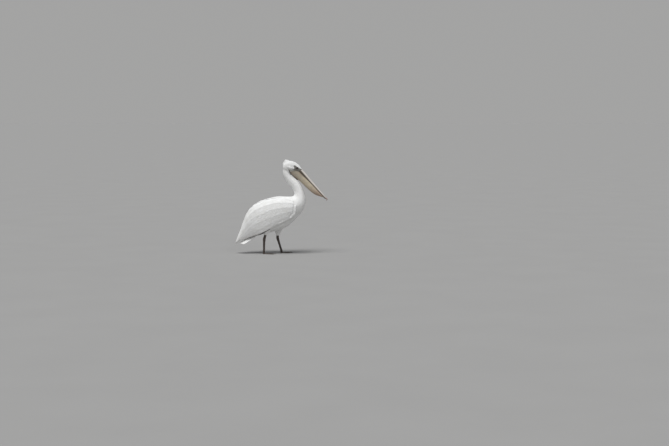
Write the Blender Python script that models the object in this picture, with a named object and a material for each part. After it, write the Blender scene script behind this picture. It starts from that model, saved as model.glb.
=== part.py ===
"""Great white pelican, life-size, caught in mid-step with its neck in an S and its bill lowered.

Metres. +X is the way the bird faces, +Y its left side and +Z up. It stands on Z = 0.
Side outlines are pairs of points (x, z): one on the upper line of the bird and the one across from it.
"""

import math
from dataclasses import dataclass

import bmesh
import bpy
import numpy as np
from mathutils import Vector
from mathutils.bvhtree import BVHTree

# Driving sizes
CULMEN = 0.424  # upper bill, from the point of the forehead feathers to the tip
BILL_BASE = Vector((0.213, 0, 0.893))  # where the forehead feathers end on the ridge of the bill
BILL_DIP = math.radians(49.6)  # how far the bill points below level
TARSUS = 0.143
MIDDLE_TOE = 0.112
SHOULDER_HALF_WIDTH = 0.141  # of the body with its folded wings
HIP_HALF_WIDTH = 0.070
EYE_RADIUS = 0.0095
EYE_PLACE = (0.165, 0.900)
TAIL_LENGTH = 0.200
GAP = 0.0004  # left between neighbours, which touch in life

# Fineness of the solids
BODY_SIDES = 22
WING_SIDES = 14
BILL_SIDES = 12
LEG_SIDES = 8
VOXEL = 0.006
CORE_SHARE = 0.042  # of the remeshed faces that are kept

SIDES = {"right": -1, "left": 1}


@dataclass
class Station:
    """One cut across a loft: a point (x, y, z) on its upper line, one on its lower line, and its reach in Y."""

    upper: tuple
    lower: tuple
    inner: float
    outer: float


def across(upper, lower, half_width):
    """A station that is the same on both sides of the bird, from two points (x, z)."""
    return Station((upper[0], 0, upper[1]), (lower[0], 0, lower[1]), -half_width, half_width)


NECK = [
    across((0.018, 0.915), (0.060, 0.900), 0.020),
    across((0.013, 0.850), (0.073, 0.868), 0.031),
    across((0.042, 0.772), (0.108, 0.818), 0.034),
    across((0.110, 0.688), (0.190, 0.738), 0.039),
    across((0.134, 0.630), (0.236, 0.630), 0.050),
    across((0.120, 0.603), (0.250, 0.553), 0.066),
]
TRUNK = [
    across((0.060, 0.600), (0.236, 0.480), 0.088),
    across((-0.040, 0.602), (0.165, 0.385), 0.108),
    across((-0.160, 0.572), (0.045, 0.280), 0.114),
    across((-0.270, 0.512), (-0.100, 0.228), 0.100),
    across((-0.335, 0.415), (-0.215, 0.205), 0.070),
    across((-0.345, 0.300), (-0.295, 0.205), 0.034),
]
HEAD = [
    across((0.016, 0.900), (0.024, 0.880), 0.014),
    across((0.020, 0.944), (0.036, 0.862), 0.031),
    across((0.052, 0.972), (0.062, 0.852), 0.037),
    across((0.095, 0.976), (0.092, 0.852), 0.037),
    across((0.135, 0.965), (0.120, 0.853), 0.033),
    across((0.170, 0.944), (0.146, 0.854), 0.029),
    across((0.196, 0.916), (0.166, 0.857), 0.026),
    across((0.212, 0.892), (0.180, 0.862), 0.022),
]
CREST = [
    across((0.088, 0.974), (0.060, 0.940), 0.020),
    across((0.066, 0.984), (0.030, 0.930), 0.018),
    across((0.046, 0.989), (0.014, 0.938), 0.010),
    across((0.036, 0.984), (0.020, 0.958), 0.003),
]
WING = [
    Station((0.160, 0.070, 0.540), (0.154, 0.078, 0.410), 0.052, 0.102),
    Station((0.132, 0.064, 0.566), (0.120, 0.086, 0.381), 0.040, 0.120),
    Station((0.050, 0.056, 0.588), (0.040, 0.098, 0.340), 0.030, 0.134),
    Station((-0.080, 0.054, 0.587), (-0.070, 0.100, 0.287), 0.028, SHOULDER_HALF_WIDTH),
    Station((-0.200, 0.052, 0.558), (-0.155, 0.096, 0.238), 0.026, 0.138),
    Station((-0.300, 0.046, 0.508), (-0.225, 0.082, 0.203), 0.016, 0.122),
    Station((-0.364, 0.030, 0.437), (-0.290, 0.060, 0.188), 0.006, 0.098),
    Station((-0.402, 0.020, 0.346), (-0.345, 0.042, 0.172), 0.003, 0.071),
    Station((-0.436, 0.015, 0.248), (-0.400, 0.028, 0.151), 0.003, 0.049),
    Station((-0.470, 0.011, 0.162), (-0.452, 0.017, 0.128), 0.003, 0.032),
    Station((-0.486, 0.009, 0.112), (-0.482, 0.012, 0.108), 0.003, 0.020),
]
PRIMARIES = [
    Station((-0.270, 0.028, 0.222), (-0.262, 0.028, 0.196), 0.006, 0.052),
    Station((-0.345, 0.024, 0.186), (-0.330, 0.024, 0.158), 0.005, 0.046),
    Station((-0.420, 0.018, 0.152), (-0.402, 0.018, 0.126), 0.004, 0.034),
    Station((-0.472, 0.012, 0.117), (-0.464, 0.012, 0.106), 0.006, 0.018),
]
TAIL_ROOT = Vector((-0.283, 0, 0.226))
TAIL_DIP = math.radians(36.5)
TAIL_HALF_WIDTHS = (0.034, 0.066)  # at the root and at the tips
TAIL_ARCHES = (0.036, 0.027)  # how far the outer feathers hang below the middle ones, at the root and at the tips
TAIL_THICKNESS = 0.006

HIPS = {"right": (-0.140, 0.300), "left": (-0.035, 0.310)}
HEELS = {"right": (-0.181, 0.158), "left": (-0.047, 0.158)}
FEATHERED = {"right": 0.70, "left": 0.85}  # share of the way from hip to heel that is feathered
STEPS = {"right": math.radians(-1.2), "left": math.radians(16.7)}  # how far each foot is swung forward

# Each toe: its share of the middle toe's length and its angle, outwards from straight ahead.
TOES = {
    "inner": (0.76, math.radians(-27)),
    "middle": (1.00, math.radians(0)),
    "outer": (0.93, math.radians(25)),
    "hind": (0.46, math.radians(-98)),
}
TOE_HEIGHT = 0.0095
WEB_BOTTOM, WEB_TOP = 0.0012, 0.0036

# Half-width and depth of the upper bill along its length, as shares of the culmen.
BILL_SHARES = (-0.10, 0.00, 0.15, 0.40, 0.70, 0.88, 0.95)
BILL_HALF_WIDTHS = (0.026, 0.0265, 0.0225, 0.0185, 0.0200, 0.0205, 0.0160)
BILL_DEPTHS = (0.034, 0.032, 0.026, 0.0185, 0.0130, 0.0105, 0.0095)
# Depth of the pouch below the ridge of the bill, at its own shares of the culmen.
POUCH_SHARES = (-0.230, -0.15, 0.00, 0.17, 0.45, 0.60, 0.71, 0.81, 0.90)
POUCH_DEPTHS = (0.108, 0.124, 0.122, 0.102, 0.091, 0.082, 0.069, 0.044, 0.020)

COLOURS = {  # colour, roughness
    "plumage": ((0.84, 0.85, 0.86), 0.85),
    "flight_feathers": ((0.055, 0.050, 0.050), 0.60),
    "horn": ((0.52, 0.46, 0.45), 0.45),
    "nail_horn": ((0.50, 0.36, 0.34), 0.40),
    "pouch_skin": ((0.62, 0.50, 0.30), 0.55),
    "leg_skin": ((0.150, 0.105, 0.088), 0.60),
    "claw_horn": ((0.060, 0.050, 0.045), 0.40),
    "eye": ((0.030, 0.014, 0.010), 0.08),
}


# Curves and meshes


def through(values, count):
    """count rows spaced evenly along a smooth curve through the rows of values."""
    rows = np.array(values, float)
    steps = np.maximum(np.linalg.norm(np.diff(rows, axis=0), axis=1), 1e-6)
    at = np.concatenate([[0], np.cumsum(steps)])
    slopes = np.gradient(rows, at, axis=0)
    wanted = np.linspace(0, at[-1], count)
    i = np.clip(np.searchsorted(at, wanted, side="right") - 1, 0, len(rows) - 2)
    span = (at[i + 1] - at[i])[:, None]
    t = (wanted - at[i])[:, None] / span
    return (
        (1 + 2 * t) * (1 - t) ** 2 * rows[i]
        + t * (1 - t) ** 2 * span * slopes[i]
        + t**2 * (3 - 2 * t) * rows[i + 1]
        - t**2 * (1 - t) * span * slopes[i + 1]
    )


def ring(upper, lower, inner, outer, sides, fullness=0.5, squareness=1.0):
    """Points round a section through the chord from upper to lower. It is widest at fullness down the chord."""
    turn = np.linspace(0, 2 * math.pi, sides, endpoint=False)
    down = ((1 - np.cos(turn)) / 2) ** (math.log(fullness) / math.log(0.5))
    share = np.abs(np.sin(turn)) ** squareness
    points = upper + (lower - upper) * down[:, None]
    points[:, 1] += (np.where(turn < math.pi, outer, inner) - points[:, 1]) * share
    return points


def new_object(name, mesh, colour):
    """A smooth-shaded object with one of the materials."""
    thing = bpy.data.objects.new(name, mesh)
    bpy.context.scene.collection.objects.link(thing)
    mesh.materials.clear()
    mesh.materials.append(material(colour))
    mesh.shade_smooth()
    return thing


def material(name):
    """The Principled material of that name, made on its first use."""
    found = bpy.data.materials.get(name)
    if found:
        return found
    made = bpy.data.materials.new(name)
    made.use_nodes = True
    colour, roughness = COLOURS[name]
    surface = made.node_tree.nodes["Principled BSDF"]
    surface.inputs["Base Color"].default_value = (*colour, 1)
    surface.inputs["Roughness"].default_value = roughness
    surface.inputs["Metallic"].default_value = 0
    return made


def skin_rings(name, rings, colour):
    """A closed solid through rings that all have the same number of points."""
    form = bmesh.new()
    loops = [[form.verts.new(point) for point in points] for points in rings]
    for first, second in zip(loops, loops[1:]):
        for i in range(len(first)):
            j = (i + 1) % len(first)
            form.faces.new((first[i], first[j], second[j], second[i]))
    form.faces.new(loops[0][::-1])
    form.faces.new(loops[-1])
    bmesh.ops.recalc_face_normals(form, faces=form.faces)
    bmesh.ops.triangulate(form, faces=form.faces)
    mesh = bpy.data.meshes.new(name)
    form.to_mesh(mesh)
    form.free()
    return new_object(name, mesh, colour)


def loft(name, stations, count, sides, colour, side=1, fullness=0.5, squareness=1.0):
    """A solid through the stations, mirrored to the bird's right if side is -1."""
    rows = [(*s.upper, *s.lower, s.inner, s.outer) for s in stations]
    rings = []
    for row in through(rows, count):
        points = ring(row[0:3], row[3:6], row[6], row[7], sides, fullness, squareness)
        points[:, 1] *= side
        rings.append(points)
    return skin_rings(name, rings, colour)


def tube(name, path, reaches, sides, colour):
    """A solid round a path of points. reaches holds, for each, how far it goes crossways and up or forward."""
    points = [Vector(p) for p in path]
    rings = []
    for i, point in enumerate(points):
        along = (points[min(i + 1, len(points) - 1)] - points[max(i - 1, 0)]).normalized()
        crossways = Vector((-along.y, along.x, 0)) if abs(along.z) < 0.7 else Vector((0, 1, 0))
        crossways = (crossways - along * crossways.dot(along)).normalized()
        other = along.cross(crossways)
        wide, tall = reaches[i]
        turns = (2 * math.pi * k / sides for k in range(sides))
        rings.append([point + crossways * wide * math.cos(t) + other * tall * math.sin(t) for t in turns])
    return skin_rings(name, rings, colour)


# Cutting and joining


def settle(thing):
    """Applies an object's modifiers, so that it can cut or be cut."""
    shown = thing.evaluated_get(bpy.context.evaluated_depsgraph_get())
    mesh = bpy.data.meshes.new_from_object(shown)
    thing.modifiers.clear()
    thing.data = mesh
    return thing


def combine(thing, other, operation):
    """Cuts other from thing, or joins it on, and settles the result."""
    made = thing.modifiers.new(operation.lower(), "BOOLEAN")
    made.operation = operation
    made.solver = "EXACT"
    made.object = other
    weld = thing.modifiers.new("weld", "WELD")
    weld.merge_threshold = 0.00002
    settle(thing)
    return thing


def drop(thing):
    """Removes a helper that has done its work."""
    bpy.data.objects.remove(thing)


def grown(thing, gap=GAP):
    """A cutter that is larger than thing by the gap on every side."""
    form = bmesh.new()
    form.from_mesh(thing.data)
    form.normal_update()
    moves = [v.normal * gap * min(v.calc_shell_factor(), 2.5) for v in form.verts]
    for v, move in zip(form.verts, moves):
        v.co += move
    mesh = bpy.data.meshes.new(thing.name + "_grown")
    form.to_mesh(mesh)
    form.free()
    helper = bpy.data.objects.new(mesh.name, mesh)
    bpy.context.scene.collection.objects.link(helper)
    return helper


def islands(form):
    """The connected groups of vertices of a bmesh."""
    left, groups = set(form.verts), []
    while left:
        group, edge = set(), [left.pop()]
        while edge:
            vertex = edge.pop()
            group.add(vertex)
            near = {e.other_vert(vertex) for e in vertex.link_edges} & left
            left -= near
            edge.extend(near)
        groups.append(group)
    return groups


def keep_largest(thing):
    """Drops the crumbs that a cut leaves loose."""
    form = bmesh.new()
    form.from_mesh(thing.data)
    groups = sorted(islands(form), key=len)
    bmesh.ops.delete(form, geom=[v for group in groups[:-1] for v in group], context="VERTS")
    form.to_mesh(thing.data)
    form.free()
    return thing


def fit_round(thing, *cutters):
    """Cuts thing back round each neighbour, and returns a cutter to fit other parts round thing."""
    own = grown(thing)
    for cutter in cutters:
        combine(thing, cutter, "DIFFERENCE")
    keep_largest(thing)
    return own


def plate(middle, along, half_length, half_width):
    """A thin cutter through middle. along is its direction in the side view."""
    line = Vector((along[0], 0, along[1])).normalized()
    thin = line.cross(Vector((0, 1, 0))) * (GAP / 2)
    form = bmesh.new()
    corners = []
    for t in (-1, 1):
        for u, v in ((-1, -1), (1, -1), (1, 1), (-1, 1)):
            offset = line * u * half_length + Vector((0, v * half_width, 0)) + thin * t
            corners.append(form.verts.new(Vector(middle) + offset))
    form.faces.new(corners[3::-1])
    form.faces.new(corners[4:])
    for i in range(4):
        j = (i + 1) % 4
        form.faces.new((corners[i], corners[j], corners[j + 4], corners[i + 4]))
    bmesh.ops.recalc_face_normals(form, faces=form.faces)
    mesh = bpy.data.meshes.new("plate")
    form.to_mesh(mesh)
    form.free()
    cutter = bpy.data.objects.new("plate", mesh)
    bpy.context.scene.collection.objects.link(cutter)
    return cutter


def new_box(name, middle, sizes):
    """A box-shaped cutter."""
    form = bmesh.new()
    bmesh.ops.create_cube(form, size=1)
    bmesh.ops.scale(form, verts=form.verts, vec=sizes)
    bmesh.ops.translate(form, verts=form.verts, vec=middle)
    mesh = bpy.data.meshes.new(name)
    form.to_mesh(mesh)
    form.free()
    cutter = bpy.data.objects.new(name, mesh)
    bpy.context.scene.collection.objects.link(cutter)
    return cutter


def split(thing, places, colour):
    """Parts a solid that thin cuts have gone through. places gives a point in each piece, by the piece's name."""
    form = bmesh.new()
    form.from_mesh(thing.data)
    form.verts.ensure_lookup_table()
    groups = [group for group in islands(form) if len(group) > 12]
    centres = [sum((v.co for v in group), Vector()) / len(group) for group in groups]
    for name, place in places.items():
        nearest = min(range(len(groups)), key=lambda i: (centres[i] - Vector(place)).length)
        piece = form.copy()
        piece.verts.ensure_lookup_table()
        kept = {v.index for v in groups[nearest]}
        rest = [v for v in piece.verts if v.index not in kept]
        bmesh.ops.delete(piece, geom=rest, context="VERTS")
        mesh = bpy.data.meshes.new(name)
        piece.to_mesh(mesh)
        piece.free()
        new_object(name, mesh, colour)
    form.free()
    drop(thing)


# The bird's parts


def make_eyes(core):
    """Both eyes, sunk in the sides of the head, which is cut back round them."""
    tree = BVHTree.FromObject(core, bpy.context.evaluated_depsgraph_get())
    for name, side in SIDES.items():
        hit = tree.ray_cast(Vector((EYE_PLACE[0], side * 0.2, EYE_PLACE[1])), Vector((0, -side, 0)))[0]
        form = bmesh.new()
        bmesh.ops.create_uvsphere(form, u_segments=12, v_segments=8, radius=EYE_RADIUS)
        bmesh.ops.translate(form, verts=form.verts, vec=hit - Vector((0, side * EYE_RADIUS * 0.62, 0)))
        mesh = bpy.data.meshes.new("eye_" + name)
        form.to_mesh(mesh)
        form.free()
        socket = grown(new_object("eye_" + name, mesh, "eye"))
        combine(core, socket, "DIFFERENCE")
        drop(socket)


def make_thigh_form(name, side):
    """The feathered upper leg, from inside the flank to just above the heel."""
    hip, heel = HIPS[name], HEELS[name]
    shares = [FEATHERED[name] * t for t in (0.0, 0.37, 0.61, 0.83, 1.0)]
    reaches = ((0.040, 0.056), (0.034, 0.046), (0.026, 0.035), (0.0190, 0.0235), (0.0135, 0.0155))
    path = [(hip[0] + (heel[0] - hip[0]) * t, side * HIP_HALF_WIDTH, hip[1] + (heel[1] - hip[1]) * t) for t in shares]
    rows = through([(*p, *r) for p, r in zip(path, reaches)], 8)
    return tube("thigh_form", rows[:, :3], rows[:, 3:], BODY_SIDES, "plumage")


def make_core():
    """Head, neck, trunk and thighs as one rounded form, parted by thin cuts, with the eyes set in it."""
    forms = [
        loft("core", NECK + TRUNK, 34, BODY_SIDES, "plumage", fullness=0.52, squareness=0.92),
        loft("head_form", HEAD, 14, BODY_SIDES, "plumage", fullness=0.50),
    ]
    forms += [make_thigh_form(name, side) for name, side in SIDES.items()]
    core = forms[0]
    for form in forms[1:]:
        combine(core, form, "UNION")
        drop(form)
    remesh = core.modifiers.new("remesh", "REMESH")
    remesh.mode = "VOXEL"
    remesh.voxel_size = VOXEL
    smooth = core.modifiers.new("smooth", "SMOOTH")
    smooth.factor = 0.5
    smooth.iterations = 7
    thin_out = core.modifiers.new("thin_out", "DECIMATE")
    thin_out.ratio = CORE_SHARE
    settle(core)
    whole = grown(core, 1.6 * GAP)
    make_eyes(core)
    cuts = [
        plate((0.056, 0, 0.855), (0.955, -0.295), 0.062, 0.06),
        plate((0.094, 0, 0.774), (0.794, 0.607), 0.062, 0.07),
        plate((0.167, 0, 0.685), (0.907, 0.420), 0.064, 0.08),
        plate((0.185, 0, 0.578), (0.933, -0.359), 0.085, 0.12),
        plate((-0.165, -HIP_HALF_WIDTH, 0.215), (1, 0), 0.060, 0.045),
        plate((-0.040, HIP_HALF_WIDTH, 0.245), (1, 0), 0.060, 0.045),
    ]
    for cutter in cuts:
        combine(core, cutter, "DIFFERENCE")
        drop(cutter)
    places = {
        "head": (0.10, 0, 0.92),
        "neck_upper": (0.055, 0, 0.81),
        "neck_middle": (0.13, 0, 0.73),
        "neck_lower": (0.18, 0, 0.63),
        "trunk": (-0.08, 0, 0.42),
        "thigh_right": (-0.17, -HIP_HALF_WIDTH, 0.20),
        "thigh_left": (-0.043, HIP_HALF_WIDTH, 0.22),
    }
    split(core, places, "plumage")
    return whole


def bill_point(along, up):
    """A point of the side view, along the bill from the feathers' end and up from its ridge."""
    x = BILL_BASE.x + along * math.cos(BILL_DIP) + up * math.sin(BILL_DIP)
    z = BILL_BASE.z - along * math.sin(BILL_DIP) + up * math.cos(BILL_DIP)
    return x, z


def bill_half_width(share):
    """Half the bill's width at a share of the culmen."""
    return float(np.interp(share, BILL_SHARES, BILL_HALF_WIDTHS))


def bill_depth(share):
    """Depth of the upper bill at a share of the culmen."""
    return float(np.interp(share, BILL_SHARES, BILL_DEPTHS))


def make_bill(whole):
    """The ridged upper mandible with its hooked nail, the lower mandible and the pouch."""
    stations = [
        across(bill_point(s * CULMEN, -0.001), bill_point(s * CULMEN, -d), w)
        for s, w, d in zip(BILL_SHARES, BILL_HALF_WIDTHS, BILL_DEPTHS)
    ]
    upper = loft("upper_mandible", stations, 13, BILL_SIDES, "horn", fullness=0.66, squareness=0.85)
    tip = [
        across(bill_point(0.9515 * CULMEN, -0.001), bill_point(0.9515 * CULMEN, -0.0095), 0.0155),
        across(bill_point(0.975 * CULMEN, 0.000), bill_point(0.972 * CULMEN, -0.0105), 0.0120),
        across(bill_point(0.995 * CULMEN, -0.004), bill_point(0.984 * CULMEN, -0.0140), 0.0085),
        across(bill_point(1.000 * CULMEN, -0.014), bill_point(0.988 * CULMEN, -0.0200), 0.0045),
        across(bill_point(0.996 * CULMEN, -0.022), bill_point(0.991 * CULMEN, -0.0235), 0.0015),
    ]
    nail = loft("bill_nail", tip, 7, BILL_SIDES, "nail_horn", fullness=0.6, squareness=0.85)
    above = [whole, fit_round(upper, whole), grown(nail)]
    above.append(fit_round(make_lower_mandible(), *above))
    drop(fit_round(make_pouch(), *above))
    for cutter in above[1:]:
        drop(cutter)


def make_lower_mandible():
    """The two thin rami of the lower mandible, which meet at the tip."""
    bars, hollow = [], []
    for share in (-0.14, 0.00, 0.15, 0.40, 0.70, 0.88, 0.955):
        top = -bill_depth(share) - GAP
        width = bill_half_width(share) - (0.001 if share < 0.9 else 0.004)
        bars.append(across(bill_point(share * CULMEN, top), bill_point(share * CULMEN, top - 0.0105), width))
        if share < 0.9:
            ends = bill_point(share * CULMEN, top + 0.02), bill_point(share * CULMEN, top - 0.03)
            hollow.append(across(*ends, width - 0.0062))
    rami = loft("lower_mandible", bars, 12, BILL_SIDES, "horn", squareness=0.7)
    space = loft("space", hollow, 9, BILL_SIDES, "horn", squareness=0.35)
    combine(rami, space, "DIFFERENCE")
    drop(space)
    return rami


def make_pouch():
    """The bag of bare skin slung between the rami."""
    stations = []
    for share, depth in zip(POUCH_SHARES, POUCH_DEPTHS):
        top = -bill_depth(share) - 0.004
        width = bill_half_width(share) - 0.002 + 0.007 * math.sin(math.pi * min(max(share, 0), 1)) ** 2
        stations.append(across(bill_point(share * CULMEN, top), bill_point(share * CULMEN, -depth), width))
    stations[0].outer *= 0.5
    stations[0].inner *= 0.5
    return loft("pouch", stations, 12, BILL_SIDES, "pouch_skin", fullness=0.42)


def make_wing(name, side, whole):
    """One folded wing, parted into the arm with its coverts and the long inner feathers over the tail."""
    wing = loft("wing_form", WING, 16, WING_SIDES, "plumage", side=side, fullness=0.48, squareness=0.85)
    own = fit_round(wing, whole)
    cutter = plate((-0.262, side * 0.1, 0.355), (0.235, -0.972), 0.22, 0.0997)
    combine(wing, cutter, "DIFFERENCE")
    drop(cutter)
    places = {
        "wing_" + name: (-0.06, side * 0.10, 0.42),
        "tertials_" + name: (-0.36, side * 0.06, 0.28),
    }
    split(wing, places, "plumage")
    return own


def make_tail(*cutters):
    """The short fan of tail feathers, arched across."""
    rows, columns = 5, 7
    form = bmesh.new()
    grid = []
    for i in range(rows):
        for j in range(columns):
            a, b = i / (rows - 1), 2 * j / (columns - 1) - 1
            reach = a * TAIL_LENGTH * (1 - 0.14 * b * b)
            half = TAIL_HALF_WIDTHS[0] + (TAIL_HALF_WIDTHS[1] - TAIL_HALF_WIDTHS[0]) * a
            drop_down = (TAIL_ARCHES[0] + (TAIL_ARCHES[1] - TAIL_ARCHES[0]) * a) * b * b
            x = TAIL_ROOT.x - reach * math.cos(TAIL_DIP) + drop_down * math.sin(TAIL_DIP)
            z = TAIL_ROOT.z - reach * math.sin(TAIL_DIP) - drop_down * math.cos(TAIL_DIP)
            grid.append(form.verts.new((x, b * half, z)))
    for i in range(rows - 1):
        for j in range(columns - 1):
            k = i * columns + j
            form.faces.new((grid[k], grid[k + 1], grid[k + columns + 1], grid[k + columns]))
    bmesh.ops.recalc_face_normals(form, faces=form.faces)
    mesh = bpy.data.meshes.new("tail")
    form.to_mesh(mesh)
    form.free()
    tail = new_object("tail", mesh, "plumage")
    thicken = tail.modifiers.new("thicken", "SOLIDIFY")
    thicken.thickness = TAIL_THICKNESS
    thicken.offset = 0
    settle(tail)
    drop(fit_round(tail, *cutters))


def toe_points(angle, length, at, outward):
    """Points down the middle of a toe, from the ankle to the tip, on the ground."""
    ahead = Vector((math.cos(angle), outward * math.sin(angle), 0))
    return [at + ahead * length * t for t in (-0.05, 0.28, 0.42, 0.56, 0.70, 0.85, 1.0)]


def make_toe(angle, length, at, outward, height, sunk):
    """One toe with its knuckles. It goes below the ground, where the foot is cut flat."""
    swell = (1.0, 0.78, 0.90, 0.72, 0.82, 0.62, 0.34)
    half_width = 0.0072 if length > 0.07 else 0.0058
    sideways = Vector((-math.sin(angle) * outward, math.cos(angle), 0)) * outward
    turns = [math.radians(t) for t in range(0, 181, 60)]
    outline = [(0.80, -0.1), *[(math.cos(t), 0.25 + 0.75 * math.sin(t)) for t in turns], (-0.80, -0.1)]
    rings = []
    for point, s in zip(toe_points(angle, length, at, outward), swell):
        heights = [height * s * v if v > 0 else -sunk for u, v in outline]
        rings.append(
            [point + sideways * u * half_width * s + Vector((0, 0, h)) for (u, v), h in zip(outline, heights)]
        )
    return skin_rings("toe_form", rings, "leg_skin")


def make_web(tips, at):
    """The sheet of skin between the toes, from the hind toe round to the outer one, scalloped between their tips."""
    outline = [at + (tips[-1] - at) * 0.09]
    for first, second in zip(tips, tips[1:]):
        for t in np.linspace(0, 1, 5):
            point = first.lerp(second, t)
            inward = (at - point) * 0.13 * math.sin(math.pi * t)
            outline.append(point + inward)
    form = bmesh.new()
    face = form.faces.new([form.verts.new((p.x, p.y, WEB_BOTTOM)) for p in outline])
    sheet = bmesh.ops.extrude_face_region(form, geom=[face])["geom"]
    for vertex in sheet:
        if isinstance(vertex, bmesh.types.BMVert):
            vertex.co.z = WEB_TOP
    bmesh.ops.recalc_face_normals(form, faces=form.faces)
    mesh = bpy.data.meshes.new("web_form")
    form.to_mesh(mesh)
    form.free()
    return new_object("web_form", mesh, "leg_skin")


def make_claw(name, angle, tip, outward):
    """A short curved claw that carries a toe on."""
    ahead = Vector((math.cos(angle), outward * math.sin(angle), 0))
    shape = ((GAP, 0.0032), (0.004, 0.0032), (0.009, 0.0024), (0.0125, 0.0009))
    path = [tip + ahead * out + Vector((0, 0, height)) for out, height in shape]
    reaches = ((0.0021, 0.0022), (0.0019, 0.0021), (0.0013, 0.0015), (0.0005, 0.0005))
    return tube(name, path, reaches, 6, "claw_horn")


def make_foot(name, side, ankle, shank):
    """The webbed foot below the ankle, flat underneath, and its four claws."""
    at = Vector((ankle.x + 0.002, ankle.y, 0))
    tips, toes = {}, {}
    for i, (toe, (share, angle)) in enumerate(TOES.items()):
        length = MIDDLE_TOE * share
        toes[toe] = make_toe(angle, length, at, side, TOE_HEIGHT - 0.0004 * i, 0.002 + 0.0005 * i)
        tips[toe] = toe_points(angle, length, at, side)[-1]
    foot = toes["middle"]
    foot.name = "foot_" + name
    web = make_web([at + (tips[toe] - at) * 0.90 for toe in ("hind", "inner", "middle", "outer")], at)
    path = [ankle, ankle - shank * 0.004, Vector((at.x - 0.001, at.y, 0.0080)), Vector((at.x, at.y, 0.0030))]
    reaches = ((0.0082, 0.0118), (0.0088, 0.0120), (0.0098, 0.0122), (0.0094, 0.0116))
    knob = tube("knob_form", path, reaches, LEG_SIDES, "leg_skin")
    for form in (toes["inner"], toes["outer"], toes["hind"], web, knob):
        combine(foot, form, "UNION")
        drop(form)
    ground = new_box("ground", (at.x, at.y, -0.005), (0.3, 0.3, 0.01))
    combine(foot, ground, "DIFFERENCE")
    drop(ground)
    for toe, (_, angle) in TOES.items():
        make_claw(f"claw_{toe}_{name}", angle, tips[toe], side)


def make_leg(name, side, whole):
    """The scaled lower leg, from inside the thigh's feathers to the ankle, and the foot."""
    hip, heel = (Vector((x, side * HIP_HALF_WIDTH, z)) for x, z in (HIPS[name], HEELS[name]))
    step = STEPS[name]
    shank = Vector((-math.sin(step), 0, math.cos(step)))
    ankle = heel - shank * TARSUS
    make_foot(name, side, ankle, shank)
    above = (hip - heel).normalized()
    path = [heel.lerp(hip, 1.12 - FEATHERED[name]), heel + above * 0.020, heel]
    path += [heel.lerp(ankle + shank * GAP, t) for t in (0.10, 0.25, 0.60, 0.88, 1.0)]
    reaches = (
        (0.0098, 0.0138),
        (0.0092, 0.0134),
        (0.0110, 0.0150),
        (0.0095, 0.0142),
        (0.0070, 0.0124),
        (0.0064, 0.0112),
        (0.0072, 0.0114),
        (0.0080, 0.0118),
    )
    rows = through([(*p, *r) for p, r in zip(path, reaches)], 12)
    shin = tube("lower_leg_" + name, rows[:, :3], rows[:, 3:], LEG_SIDES, "leg_skin")
    drop(fit_round(shin, whole))


def stand_on_origin():
    """Moves the whole bird so that the middle of its base is the origin, with the soles on Z = 0."""
    bpy.context.view_layer.update()
    things = [thing for thing in bpy.data.objects if thing.type == "MESH"]
    points = np.array([v.co for thing in things for v in thing.data.vertices])
    low, high = points.min(axis=0), points.max(axis=0)
    shift = Vector((-(low[0] + high[0]) / 2, -(low[1] + high[1]) / 2, -low[2]))
    for thing in things:
        for vertex in thing.data.vertices:
            vertex.co += shift


def main():
    """Builds every part of the bird."""
    for thing in list(bpy.data.objects):
        bpy.data.objects.remove(thing)
    whole = make_core()
    make_bill(whole)
    drop(fit_round(loft("crest", CREST, 6, 10, "plumage"), whole))
    wings = [make_wing(name, side, whole) for name, side in SIDES.items()]
    blades = []
    for name, side in SIDES.items():
        blade = loft("primaries_" + name, PRIMARIES, 7, 8, "flight_feathers", side=side, squareness=0.8)
        blades.append(fit_round(blade, whole, *wings))
        make_leg(name, side, whole)
    make_tail(whole, *wings, *blades)
    for cutter in (whole, *wings, *blades):
        drop(cutter)
    stand_on_origin()


main()
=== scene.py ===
"""A life-size great white pelican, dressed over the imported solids: skin, feathers, bill, eyes, legs and feet.

Lengths are in metres. +X is the way the bird faces, +Y its left side, +Z up, and it stands on Z = 0.
Places in the side view are pairs (x, z) in the bird's own plan, which `Plan` moves into the frame.
"""

import logging
import math
import zlib
from collections.abc import Callable, Sequence
from dataclasses import dataclass, field
from enum import Enum
from typing import Any

import bmesh
import bpy
import numpy as np
from bpy.types import ID, Material, Mesh, Node, NodeSocket, Object
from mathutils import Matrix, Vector
from mathutils.bvhtree import BVHTree
from mathutils.kdtree import KDTree

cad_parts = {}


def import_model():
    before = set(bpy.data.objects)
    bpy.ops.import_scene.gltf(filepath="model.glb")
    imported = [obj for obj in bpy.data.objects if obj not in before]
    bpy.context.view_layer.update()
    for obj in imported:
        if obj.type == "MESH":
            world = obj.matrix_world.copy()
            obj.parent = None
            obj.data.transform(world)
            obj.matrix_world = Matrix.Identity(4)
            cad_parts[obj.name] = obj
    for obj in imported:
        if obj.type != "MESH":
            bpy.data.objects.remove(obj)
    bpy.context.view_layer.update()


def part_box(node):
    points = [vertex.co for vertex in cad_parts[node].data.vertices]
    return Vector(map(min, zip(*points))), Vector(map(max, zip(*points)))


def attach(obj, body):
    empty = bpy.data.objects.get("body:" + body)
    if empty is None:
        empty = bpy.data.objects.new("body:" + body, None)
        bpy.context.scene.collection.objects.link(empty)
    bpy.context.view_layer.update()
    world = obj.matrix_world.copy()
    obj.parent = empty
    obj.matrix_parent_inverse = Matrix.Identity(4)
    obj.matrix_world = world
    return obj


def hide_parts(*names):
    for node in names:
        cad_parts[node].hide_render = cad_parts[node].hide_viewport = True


LOG = logging.getLogger("pelican")

Array = np.ndarray
Pair = tuple[float, float]
Colour = tuple[float, float, float]

SIDES: dict[str, int] = {"right": -1, "left": 1}
EYE_PLAN_X = 0.165  # of the eye's middle in the bird's own plan


class Group(Enum):
    """The part of the bird that a spot of its outer form belongs to."""

    HEAD = 0
    NECK = 1
    TRUNK = 2
    WING = 3
    POUCH = 4


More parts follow.
